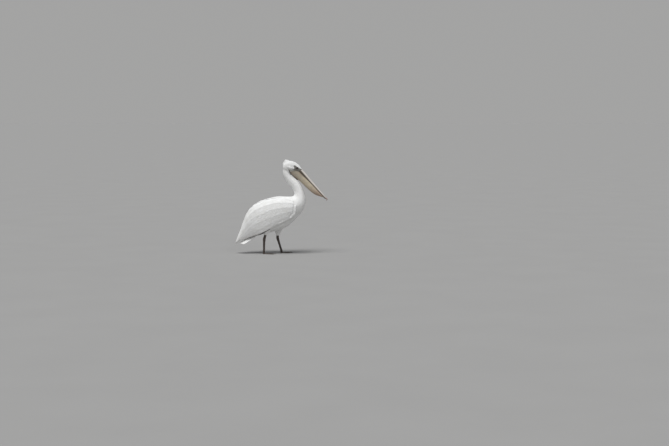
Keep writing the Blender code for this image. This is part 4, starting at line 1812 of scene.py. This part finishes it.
# Each step of an eyelid: how far it is out from the opening, and how high above the ball
LID_STEPS: tuple[Pair, ...] = (
    (0.0, -0.0008), (0.0, 0.0005), (0.0006, 0.0013), (0.0016, 0.0013), (0.0026, 0.0006), (0.0042, 0.0),
    (0.0062, -0.0024),
)


@dataclass
class Eye:
    """One eyeball in its lids.

    Attributes:
        side: -1 for the right one and 1 for the left.
        name: right or left.
        radius: The ball's radius.
        opening: Half the opening between the lids, along and up.
        bulge: How far the clear front stands out, as a share of the radius.
        thickness: The lids' thickness.
    """

    side: int
    name: str
    radius: float = 0.0092
    opening: Pair = (0.0068, 0.0060)
    bulge: float = 0.07
    thickness: float = 0.0006

    def build(self, iris: Material, skin: Material) -> None:
        """Makes the ball and its lids.

        Args:
            iris: The ball's material.
            skin: The lids' material.
        """
        low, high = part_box("eye_" + self.name)
        centre = np.array((low + high) / 2)
        axis = unit(np.array([0.28, self.side, 0.06]))
        self._ball(centre, axis, iris)
        self._lids(centre, axis, skin)

    def _ball(self, centre: Array, axis: Array, iris: Material) -> None:
        """Makes the eyeball, with its clear front standing out a little.

        Args:
            centre: The ball's middle.
            axis: The way it looks.
            iris: Its material.
        """
        form = bmesh.new()
        bmesh.ops.create_uvsphere(form, u_segments=48, v_segments=32, radius=self.radius)
        ball = solid("eyeball_" + self.name, form)
        points = points_of(ball)
        off = np.degrees(np.arccos(np.clip(unit(points) @ axis, -1, 1))) / 60
        bulge = 1 + self.bulge * (1 - smooth_step(off, 0.25, 0.85))
        move_points(ball, centre + points * bulge[:, None])
        ball.data.shade_smooth()
        set_attributes(ball, off=off)
        dress(ball, iris, "eye", "eye_" + self.name)

    def _lids(self, centre: Array, axis: Array, skin: Material) -> None:
        """Makes the ring of skin that the ball looks out of.

        Args:
            centre: The ball's middle.
            axis: The way it looks.
            skin: The lids' material.
        """
        ahead = unit(np.cross(axis, [0, 0, 1])) * -self.side
        up = unit(np.cross(axis, ahead)) * self.side
        up = up if up[2] > 0 else -up
        around = np.linspace(0, 2 * math.pi, 64, endpoint=False)
        rings = []
        for out, height in LID_STEPS:
            wide = (self.opening[0] + out) * np.cos(around)
            tall = (self.opening[1] + out) * np.sin(around) * np.where(np.sin(around) > 0, 1.0, 0.92)
            flat = np.hypot(wide, tall)
            rise = np.sqrt(np.maximum((self.radius + height) ** 2 - flat**2, (0.35 * self.radius) ** 2))
            rings.append(centre + wide[:, None] * ahead + tall[:, None] * up + rise[:, None] * axis)
        quads = between_rings(len(rings), len(around))[:, :: self.side]
        lids = new_object("eyelids_" + self.name, np.concatenate(rings), quads)
        modify(lids, "SOLIDIFY", thickness=self.thickness, offset=-1)
        settled(lids)
        lids.data.shade_smooth()
        none = np.zeros(len(lids.data.vertices))
        set_attributes(lids, bare=none + 1, ring=none + 0.8, low=none, jaw=none, pouch=none, crease=none)
        dress(lids, skin, "plumage")


@dataclass
class Bill:
    """The horn of the bill: both mandibles and the nail.

    Attributes:
        frame: Measures along the bill.
        shares: Places along the bill at which its sizes are given.
        half_widths: Half its width there.
        depths: The upper bill's depth there.
    """

    frame: BillFrame
    shares: tuple[float, ...] = (-0.10, 0.00, 0.15, 0.40, 0.70, 0.88, 0.95)
    half_widths: tuple[float, ...] = (0.026, 0.0265, 0.0225, 0.0185, 0.0200, 0.0205, 0.0160)
    depths: tuple[float, ...] = (0.034, 0.032, 0.026, 0.0185, 0.0130, 0.0105, 0.0095)

    def width_at(self, share: Array | float) -> Array:
        """Half the bill's width at shares of its culmen."""
        return np.interp(share, self.shares, self.half_widths)

    def depth_at(self, share: Array | float) -> Array:
        """The upper bill's depth at shares of its culmen."""
        return np.interp(share, self.shares, self.depths)

    def build(self, horn: Material, nail: Material) -> None:
        """Makes the whole bill.

        Args:
            horn: The mandibles' material.
            nail: The nail's.
        """
        self._upper(horn)
        self._nail(nail)
        self._lower(horn)

    def _section(self) -> tuple[Array, Array]:
        """The upper bill's section: a raised ridge, a groove, a sloping side and a cutting edge.

        Returns:
            Shares of the half width and of the depth, round the section.
        """
        half = (
            (0.00, 0.000), (0.10, 0.006), (0.18, 0.040), (0.24, 0.110), (0.30, 0.135), (0.42, 0.150),
            (0.58, 0.215), (0.74, 0.330), (0.88, 0.500), (0.97, 0.700), (1.00, 0.860), (0.99, 0.985),
            (0.93, 1.000), (0.86, 0.930), (0.60, 0.820), (0.30, 0.780), (0.00, 0.770),
        )  # fmt: skip
        right = np.array(half)
        left = right[-2:0:-1] * [-1, 1]
        return tuple(np.concatenate([right, left]).T)

    def _upper(self, horn: Material) -> None:
        """Makes the upper mandible, which slims where it goes under the skin.

        Args:
            horn: Its material.
        """
        across, down = self._section()
        share = np.linspace(-0.10, 0.955, 150)[:, None]
        rows = through(list(zip(self.shares, self.half_widths, self.depths)), 200)
        under = smooth_step(-share, -0.020, 0.060)
        width = np.interp(share, rows[:, 0], rows[:, 1]) * (1 - 0.45 * under)
        depth = np.interp(share, rows[:, 0], rows[:, 2])
        grain = 0.00018 * np.sin(down * 70 + 2 * np.sin(share * 23)) * smooth_step(down, 0.15, 0.35)
        fall = down * depth * (1 - 0.4 * under) + 0.0005 + 0.009 * under
        rings = self.frame.spot(share * self.frame.culmen, -fall, across * (width + grain))
        piece = tube("upper_mandible_horn", rings)
        shape = fall.shape
        drop = np.append((down * depth).ravel(), [0.02, 0.005])
        run = np.append(np.broadcast_to(share, shape).ravel(), [0, 1])
        rim = np.append(np.broadcast_to(smooth_step(down, 0.90, 0.99), shape).ravel(), [0, 0])
        set_attributes(piece, down=drop, share=run, rim=rim * 0.6)
        dress(piece, horn, "horn", "upper_mandible")

    def _nail(self, nail: Material) -> None:
        """Makes the hooked nail at the tip.

        Args:
            nail: Its material.
        """
        stations = (
            (0.940, 0.0006, 0.940, -0.0100, 0.0150),
            (0.958, 0.0012, 0.957, -0.0102, 0.0140),
            (0.977, 0.0008, 0.973, -0.0110, 0.0118),
            (0.993, -0.0036, 0.984, -0.0142, 0.0086),
            (1.000, -0.0130, 0.988, -0.0198, 0.0048),
            (0.997, -0.0220, 0.9915, -0.0236, 0.0014),
        )
        rows = through(stations, 26)
        turn = np.linspace(0, 2 * math.pi, 32, endpoint=False)
        lower = ((1 - np.cos(turn)) / 2) ** 0.8
        out = np.sign(np.sin(turn)) * np.abs(np.sin(turn)) ** 0.85
        along = rows[:, :1] + (rows[:, 2:3] - rows[:, :1]) * lower
        up = rows[:, 1:2] + (rows[:, 3:4] - rows[:, 1:2]) * lower
        piece = tube("bill_nail_horn", self.frame.spot(along * self.frame.culmen, up, rows[:, 4:] * out))
        dress(piece, nail, "nail_horn", "bill_nail")

    def _lower(self, horn: Material) -> None:
        """Makes the lower mandible: two thin rods that meet at the tip, and go under the skin at the jaw.

        Args:
            horn: Its material.
        """
        t = np.linspace(-1, 1, 181)
        share = 0.945 - 1.085 * np.abs(t) ** 1.35
        spread = np.sin(np.minimum(np.abs(t) / 0.10, 1) * math.pi / 2) * np.sign(t)
        under = smooth_step(-share, -0.06, 0.05)
        y = spread * (self.width_at(share) - 0.0036 - 0.012 * under)
        centre = self.frame.spot(share * self.frame.culmen, -self.depth_at(share) - 0.0054, y)
        tangent = unit(np.gradient(centre, axis=0))
        up = self.frame.spot(0.0, 1.0, 0.0) - self.frame.spot(0.0, 0.0, 0.0)
        aside = unit(np.cross(tangent, up))
        turn = np.linspace(0, 2 * math.pi, 20, endpoint=False)
        wide, tall = 0.0034 * np.cos(turn), 0.0051 * np.sin(turn)
        rings = centre[:, None] + aside[:, None] * wide[:, None] + up * tall[:, None]
        piece = tube("lower_mandible_horn", rings)
        run = np.append(np.repeat(share, len(turn)), [0, 0])
        # down of 0.03 gives the lower bill the dark side colour, partly painted shade under the upper bill
        set_attributes(piece, down=np.full(len(run), 0.03), share=run, rim=np.full(len(run), 0.15))
        dress(piece, horn, "horn", "lower_mandible")


@dataclass
class Leg:
    """One bare lower leg with its foot and claws.

    Attributes:
        name: right or left.
        voxel: The size of its mesh.
        scute: The size of the scales.
        groove: How deep the grooves between them are.
        grow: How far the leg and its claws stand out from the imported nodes.
    """

    name: str
    voxel: float = 0.0011
    scute: float = 0.0036
    groove: float = 0.0005
    grow: Pair = (0.0003, 0.0002)

    def build(self, skin: Material, claw: Material) -> None:
        """Makes the leg as one piece of scaly skin, and its claws.

        Args:
            skin: The skin's material.
            claw: The claws' material.
        """
        nodes = ("lower_leg_" + self.name, "foot_" + self.name)
        leg = copy_nodes(nodes, "leg_" + self.name, self.grow[0])
        modify(leg, "REMESH", mode="VOXEL", voxel_size=self.voxel)
        settled(leg)
        points = rounded(edges_of(leg), points_of(leg), 9)
        move_points(leg, points)
        points = points - normals_of(leg) * self._scutes(leg, points)[:, None]
        points[:, 2] = np.maximum(points[:, 2], 0.0)
        move_points(leg, points)
        leg.data.shade_smooth()
        dress(leg, skin, "leg_skin", *nodes)
        LOG.info("leg_%s: %d faces", self.name, len(leg.data.polygons))
        for toe in ("hind", "inner", "middle", "outer"):
            node = f"claw_{toe}_{self.name}"
            horn = copy_nodes([node], node + "_horn", self.grow[1])
            modify(horn, "SUBSURF", levels=2, render_levels=2)
            settled(horn)
            horn.data.shade_smooth()
            dress(horn, claw, "claw_horn", node)

    def _scutes(self, leg: Object, points: Array) -> Array:
        """Works out the grooves between the scales, and keeps them on the mesh as seam and plate.

        Args:
            leg: The leg.
            points: Its points.

        Returns:
            How deep each point is sunk.
        """
        order = seed_of("scutes_" + self.name).permutation(len(points))
        size = np.full(len(points), self.scute / 2)
        sites = points[order][keep_apart(points[order], np.tile([1.0, 0, 0], (len(points), 1)), size, size)]
        tree = tree_of(sites)
        gaps, owners = np.empty(len(points)), np.empty(len(points), int)
        for i, point in enumerate(points):
            (_, first, near), (_, _, far) = tree.find_n(point, 2)
            gaps[i], owners[i] = far - near, first
        seam = 1 - smooth_step(gaps, 0.0001, 0.0011)
        set_attributes(leg, seam=seam, plate=seed_of("plates").uniform(0, 1, len(sites))[owners])
        return self.groove * seam


@dataclass
class Tail:
    """The fan of tail feathers.

    Attributes:
        plan: Where the bird's plan lies.
        count: How many feathers it has.
        root: Where they start in the side view.
        dip: How far they point below level, in degrees.
        length: The middle ones' length.
        half_widths: Half the fan's width at the roots and at the tips.
        arches: How far the fan's sides droop there.
        fold: The share of its width that the folded fan keeps.
    """

    plan: Plan
    count: int = 22
    root: Pair = (-0.283, 0.226)
    dip: float = 36.5
    length: float = 0.200
    half_widths: Pair = (0.034, 0.066)
    arches: Pair = (0.036, 0.027)
    fold: float = 0.86

    def build(self, unwrap: Unwrap, finish: Material) -> None:
        """Makes the feathers.

        Args:
            unwrap: The skin's layout.
            finish: Their material.
        """
        vane, dip = QUILL, math.radians(self.dip)
        across = np.linspace(-1, 1, self.count)
        t = np.array(vane.along)
        rng = seed_of("tail")
        reach = (self.length * (1 - 0.14 * across**2) - 0.003 * rng.uniform(0, 1, self.count))[:, None] * t
        half = self.half_widths[0] + (self.half_widths[1] - self.half_widths[0]) * t
        half = half * self.fold
        sink = (self.arches[0] + (self.arches[1] - self.arches[0]) * t) * (across**2)[:, None] - 0.0015
        x = self.root[0] + self.plan.shift - reach * math.cos(dip) + sink * math.sin(dip)
        z = self.root[1] - reach * math.sin(dip) - sink * math.cos(dip)
        shafts = np.stack([x, across[:, None] * half, z], -1)
        over = np.array([-math.sin(dip), 0, math.cos(dip)])
        lean = (across[:, None] * (0.95 - 0.35 * t))[..., None]
        normals = over * np.cos(lean) + np.array([0, 1, 0]) * np.sin(lean)
        width = np.full(self.count, 0.0115)
        twist = across * -0.05 + rng.normal(0, 0.02, self.count)
        feathers = Feathers("tail_feathers", vane, shafts, normals, width, np.zeros(self.count), twist)
        feathers.build(unwrap, finish, "plumage", "tail")


@dataclass
class WingQuills:
    """The dark flight feathers of one folded wing, where they show.

    Attributes:
        plan: Where the bird's plan lies.
        side: -1 for the right wing and 1 for the left.
        name: right or left.
        primaries: How many primaries show.
        secondaries: How many secondaries show.
    """

    plan: Plan
    side: int
    name: str
    primaries: int = 6
    secondaries: int = 15

    def build(self, form: Form, unwrap: Unwrap, dark: Material) -> None:
        """Makes the primaries and the row of secondaries, of the dark material."""
        self._primaries(unwrap, dark)
        self._secondaries(form, unwrap, dark)

    def _primaries(self, unwrap: Unwrap, dark: Material) -> None:
        """Makes the long primaries that show between the white feathers and the tail.

        Args:
            unwrap: The skin's layout.
            dark: Their material.
        """
        count = self.primaries
        n = np.arange(count) / (count - 1)
        t = np.array(QUILL.along)
        start = np.stack([-0.262 - 0.006 * n, 0.030 + 0.022 * n, 0.228 - 0.006 * n], 1)
        end = np.stack([-0.425 + 0.070 * n, 0.016 + 0.022 * n, 0.151 + 0.027 * n], 1)
        shafts = start[:, None] + (end - start)[:, None] * t[:, None]
        shafts[..., 2] -= 0.006 * np.sin(math.pi * t)
        shafts[..., 0] += self.plan.shift
        shafts[..., 1] *= self.side
        tilt = math.radians(52)
        normals = np.broadcast_to(np.array([-0.3, self.side * math.sin(tilt), math.cos(tilt)]), shafts.shape)
        flat, name = np.zeros(count), "primary_feathers_" + self.name
        feathers = Feathers(name, QUILL, shafts, normals, np.full(count, 0.0100), flat, flat)
        feathers.build(unwrap, dark, "flight_feathers", "primaries_" + self.name)

    def _secondaries(self, form: Form, unwrap: Unwrap, dark: Material) -> None:
        """Makes the dark secondaries along the lower edge of the wing.

        Args:
            form: The outer form.
            unwrap: The skin's layout.
            dark: Their material.
        """
        edge = through(WING_EDGE[1:], 200)
        run = np.concatenate([[0], np.cumsum(np.linalg.norm(np.diff(edge, axis=0), axis=1))])
        count, t = self.secondaries, np.array(QUILL.along)
        at = np.linspace(0.115, 0.225, count)[:, None] + 0.120 * t
        x, z = (np.interp(at, run, edge[:, k]) for k in range(2))
        rise = 0.0085 - 0.0035 * t
        points, normals = form.drop_on(x, z + rise, self.side)
        for _ in range(4):
            padded = np.concatenate([normals[:, :1], normals, normals[:, -1:]], 1)
            normals = (padded[:, :-2] + 2 * normals + padded[:, 2:]) / 4
        normals = unit(unit(normals) + np.array([0, 0, -0.15]))
        shafts = points + normals * (0.0012 - 0.0110 * (1 - t) ** 3)[:, None]
        width = 0.0120 - 0.0050 * np.maximum(1 - np.arange(count) / 5, 0)
        name, bend, twist = "secondary_feathers_" + self.name, np.full(count, 14.0), np.zeros(count)
        Feathers(name, QUILL, shafts, normals, width, bend, twist).build(unwrap, dark, "flight_feathers")


@dataclass
class Coat:
    """All the small, middle-sized and long white feathers that lie on the form.

    Attributes:
        form: The outer form.
        plan: Where the bird's plan lies.
        band: How high the strip of dark feathers is that shows under the wing's coverts; part of its height
            stands in as painted shade under the wing.
    """

    form: Form
    plan: Plan
    band: float = 0.0105

    def over_edge(self, x: Array, z: Array) -> Array:
        """How far places of the side view are clear of the dark strip along the wing's lower edge.

        Args:
            x: How far ahead they are, in the bird's plan.
            z: How high they are.

        Returns:
            The distance above the strip, or a large one where there is none.
        """
        edge = np.array(WING_EDGE)[::-1]
        # the dark strip is widened partly as painted shade under the wing
        strip = self.band * smooth_step(-x, 0.060, 0.160) * smooth_step(x, -0.300, -0.265)
        return np.where(strip > 0.001, z - np.interp(x, edge[:, 0], edge[:, 1]) - strip, 1.0)

    def clear_tips(self, tips: Array) -> Array:
        """True for the feathers whose tips end clear of the dark strip."""
        return self.over_edge(tips[:, 0] - self.plan.shift, tips[:, 2]) > 0

    def layers(self) -> list[Layer]:
        """Lists the layers, from the head back.

        Returns:
            The layers.
        """
        form = self.form
        x, z = form.side_view().T
        side = np.sign(form.points[:, 1])
        kind = {group: form.groups == group.value for group in Group}
        feathered = form.bare < 0.30
        flank = smooth_step(self.over_edge(x, z), -0.004, 0.002) * (x > -0.440)

        head = kind[Group.HEAD] & feathered
        neck = kind[Group.NECK] & feathered
        crest = kind[Group.HEAD] & (x < 0.095) & (x > 0.012) & (z > 0.935)
        trunk = kind[Group.TRUNK]
        shoulder = (trunk | kind[Group.WING]) & (x < 0.03) & (x > -0.33)
        shoulder &= (z > 0.50 - 0.9 * np.maximum(-0.20 - x, 0)) & (z < 0.60)
        inner = kind[Group.WING] & (x < -0.13) & (z < 0.53)
        front, rear = trunk & (x > 0.02), trunk & (x <= 0.03)
        tuft = dict(lift=0.35, stray=7, room=(0.14, 1.25), curl=0.02)
        nape = dict(lift=0.015, stray=3.5, room=(0.18, 0.84))
        body = dict(stray=3.5, over=0.008, yields=(0.80, 0.50))
        made = [
            Layer("head_feathers", TUFT, head, 0.90, 0.86, stray=3.5, room=(0.19, 0.90)),
            Layer("crest_feathers", PLUME, crest, 2.1, 0.95, **tuft),
            Layer("upper_neck_feathers", SHORT, neck & (z > 0.735), 0.95, 0.95, **nape),
            Layer("lower_neck_feathers", SHORT, neck & (z <= 0.745), 0.97, 0.98, **nape),
            Layer("breast_feathers", LANCE, front, 0.96, 0.92, lift=0.02, room=(0.165, 0.87), **body),
            Layer("back_feathers", LANCE, rear, 0.97, 0.93, lift=0.03, room=(0.175, 0.90), **body),
        ]
        clear = self.clear_tips
        small = dict(lift=0.04, stray=3.5, over=0.002, yields=(0.90, 0.50), keeps=clear)
        long = dict(lift=0.15, stray=2.5, room=(0.10, 1.30), over=0.007, yields=(0.92, 0.50), keeps=clear)
        cape = dict(lift=0.10, stray=3.0, room=(0.11, 1.28), yields=(0.85, 0.50))
        for name, sign in SIDES.items():
            mine = side == sign
            made += [
                Layer("wing_coverts_" + name, ROUND, kind[Group.WING] * flank * mine, 0.90, 0.86, **small),
                Layer("inner_wing_feathers_" + name, QUILL, inner * flank * mine, 1.60, 1.12, **long),
                Layer("shoulder_feathers_" + name, PLUME, shoulder & mine, 1.75, 1.10, **cape),
            ]
        return made

    def build(self, unwrap: Unwrap, finish: Material) -> None:
        """Makes the layers of feathers."""
        for layer in self.layers():
            layer.build(self.form, unwrap, finish)


@dataclass
class Studio:
    """The floor, the lights and the camera.

    Attributes:
        plan: Where the bird's plan lies.
        distance: From the camera to the bird.
        height: The camera's height.
        aside: How far the camera is ahead of the plan's origin.
        pitch: How far it looks down, in degrees.
        lens: Its focal length in millimetres.
        lamps: Each lamp's name, strength, spread in degrees, and the way it shines.
        horizon: The surround's colour there.
        zenith: Its colour overhead.
        size: How far the floor reaches.
    """

    plan: Plan
    distance: float = 14.0
    height: float = 1.433
    aside: float = 0.5565
    pitch: float = 4.54
    lens: float = 71.73
    lamps: tuple[tuple[str, float, float, Colour], ...] = (
        ("key", 2.74, 34.0, (0.19, 0.34, -1.0)),
        ("glint", 0.22, 9.0, (-0.45, 1.0, -0.60)),
    )
    horizon: Colour = (0.3690, 0.3684, 0.3655)
    zenith: Colour = (0.245, 0.258, 0.275)
    size: float = 300.0

    def build(self) -> None:
        """Makes the studio."""
        self._floor()
        self._lights()
        self._camera()

    def _floor(self) -> None:
        """Makes a plain pale floor."""
        corners = np.array([(-1, -1, 0), (1, -1, 0), (1, 1, 0), (-1, 1, 0)]) * self.size
        floor = new_object("floor", corners - [0, 0, 0.0004], np.array([[0, 1, 2, 3]]))
        floor.data.materials.append(Ground().make())

    def _lights(self) -> None:
        """Sets a soft key overhead, a weak lamp by the camera, and a surround palest at the horizon."""
        for name, power, spread, way in self.lamps:
            lamp = bpy.data.lights.new(name, "SUN")
            lamp.energy, lamp.angle = power, math.radians(spread)
            link(name, lamp).rotation_euler = Vector(way).to_track_quat("-Z", "Y").to_euler()
        g = Graph("surround", world=True)
        up = g.add("SeparateXYZ", g.add("TexCoord").outputs["Generated"]).outputs[2]
        colour = g.blend(g.ramp(up, 0.12, 0.55), self.horizon, self.zenith)
        bpy.context.scene.world = g.finish(Color=colour)
        bpy.context.scene.view_settings.view_transform = "Standard"

    def _camera(self) -> None:
        """Sets the camera at eye height, a little above the bird."""
        lens = bpy.data.cameras.new("camera")
        lens.lens, lens.sensor_width, lens.clip_end = self.lens, 36.0, 800.0
        camera = link("camera", lens)
        camera.location = self.plan.place(self.aside, -self.distance, self.height)
        camera.rotation_euler = (math.radians(90 - self.pitch), 0, 0)
        bpy.context.scene.camera = camera


def main() -> None:
    """Builds the whole bird and its studio."""
    logging.basicConfig(level=logging.INFO, format="%(message)s")
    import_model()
    plan = Plan.from_frame()
    bill = BillFrame(plan)
    form = Form(plan, bill)
    form.build()
    unwrap = Unwrap(form)
    unwrap.build()
    plumage = Plumage()
    white = plumage.make()
    shades = (0.045, 0.041, 0.040), (0.075, 0.067, 0.063), (0.06, 0.055, 0.052)
    dark = Plumage("dark_plumage", *shades, 0.0014, 0.55, 0.0).make()
    skin = BareSkin(plumage).make()
    low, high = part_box("eye_right")
    Skin(form, (low + high) / 2, bill).build(skin)
    Coat(form, plan).build(unwrap, white)
    for name, side in SIDES.items():
        WingQuills(plan, side, name).build(form, unwrap, dark)
    Tail(plan).build(unwrap, white)
    iris = Iris().make()
    for name, side in SIDES.items():
        Eye(side, name).build(iris, skin)
    nail = Claw("nail_horn", (0.42, 0.28, 0.25), (0.58, 0.44, 0.38)).make()
    Bill(bill).build(Horn().make(), nail)
    scales, claw = ScalySkin().make(), Claw("claw_horn", (0.035, 0.028, 0.025), (0.11, 0.09, 0.08)).make()
    for name in SIDES:
        Leg(name).build(scales, claw)
    Studio(plan).build()


if __name__ == "__main__":
    main()
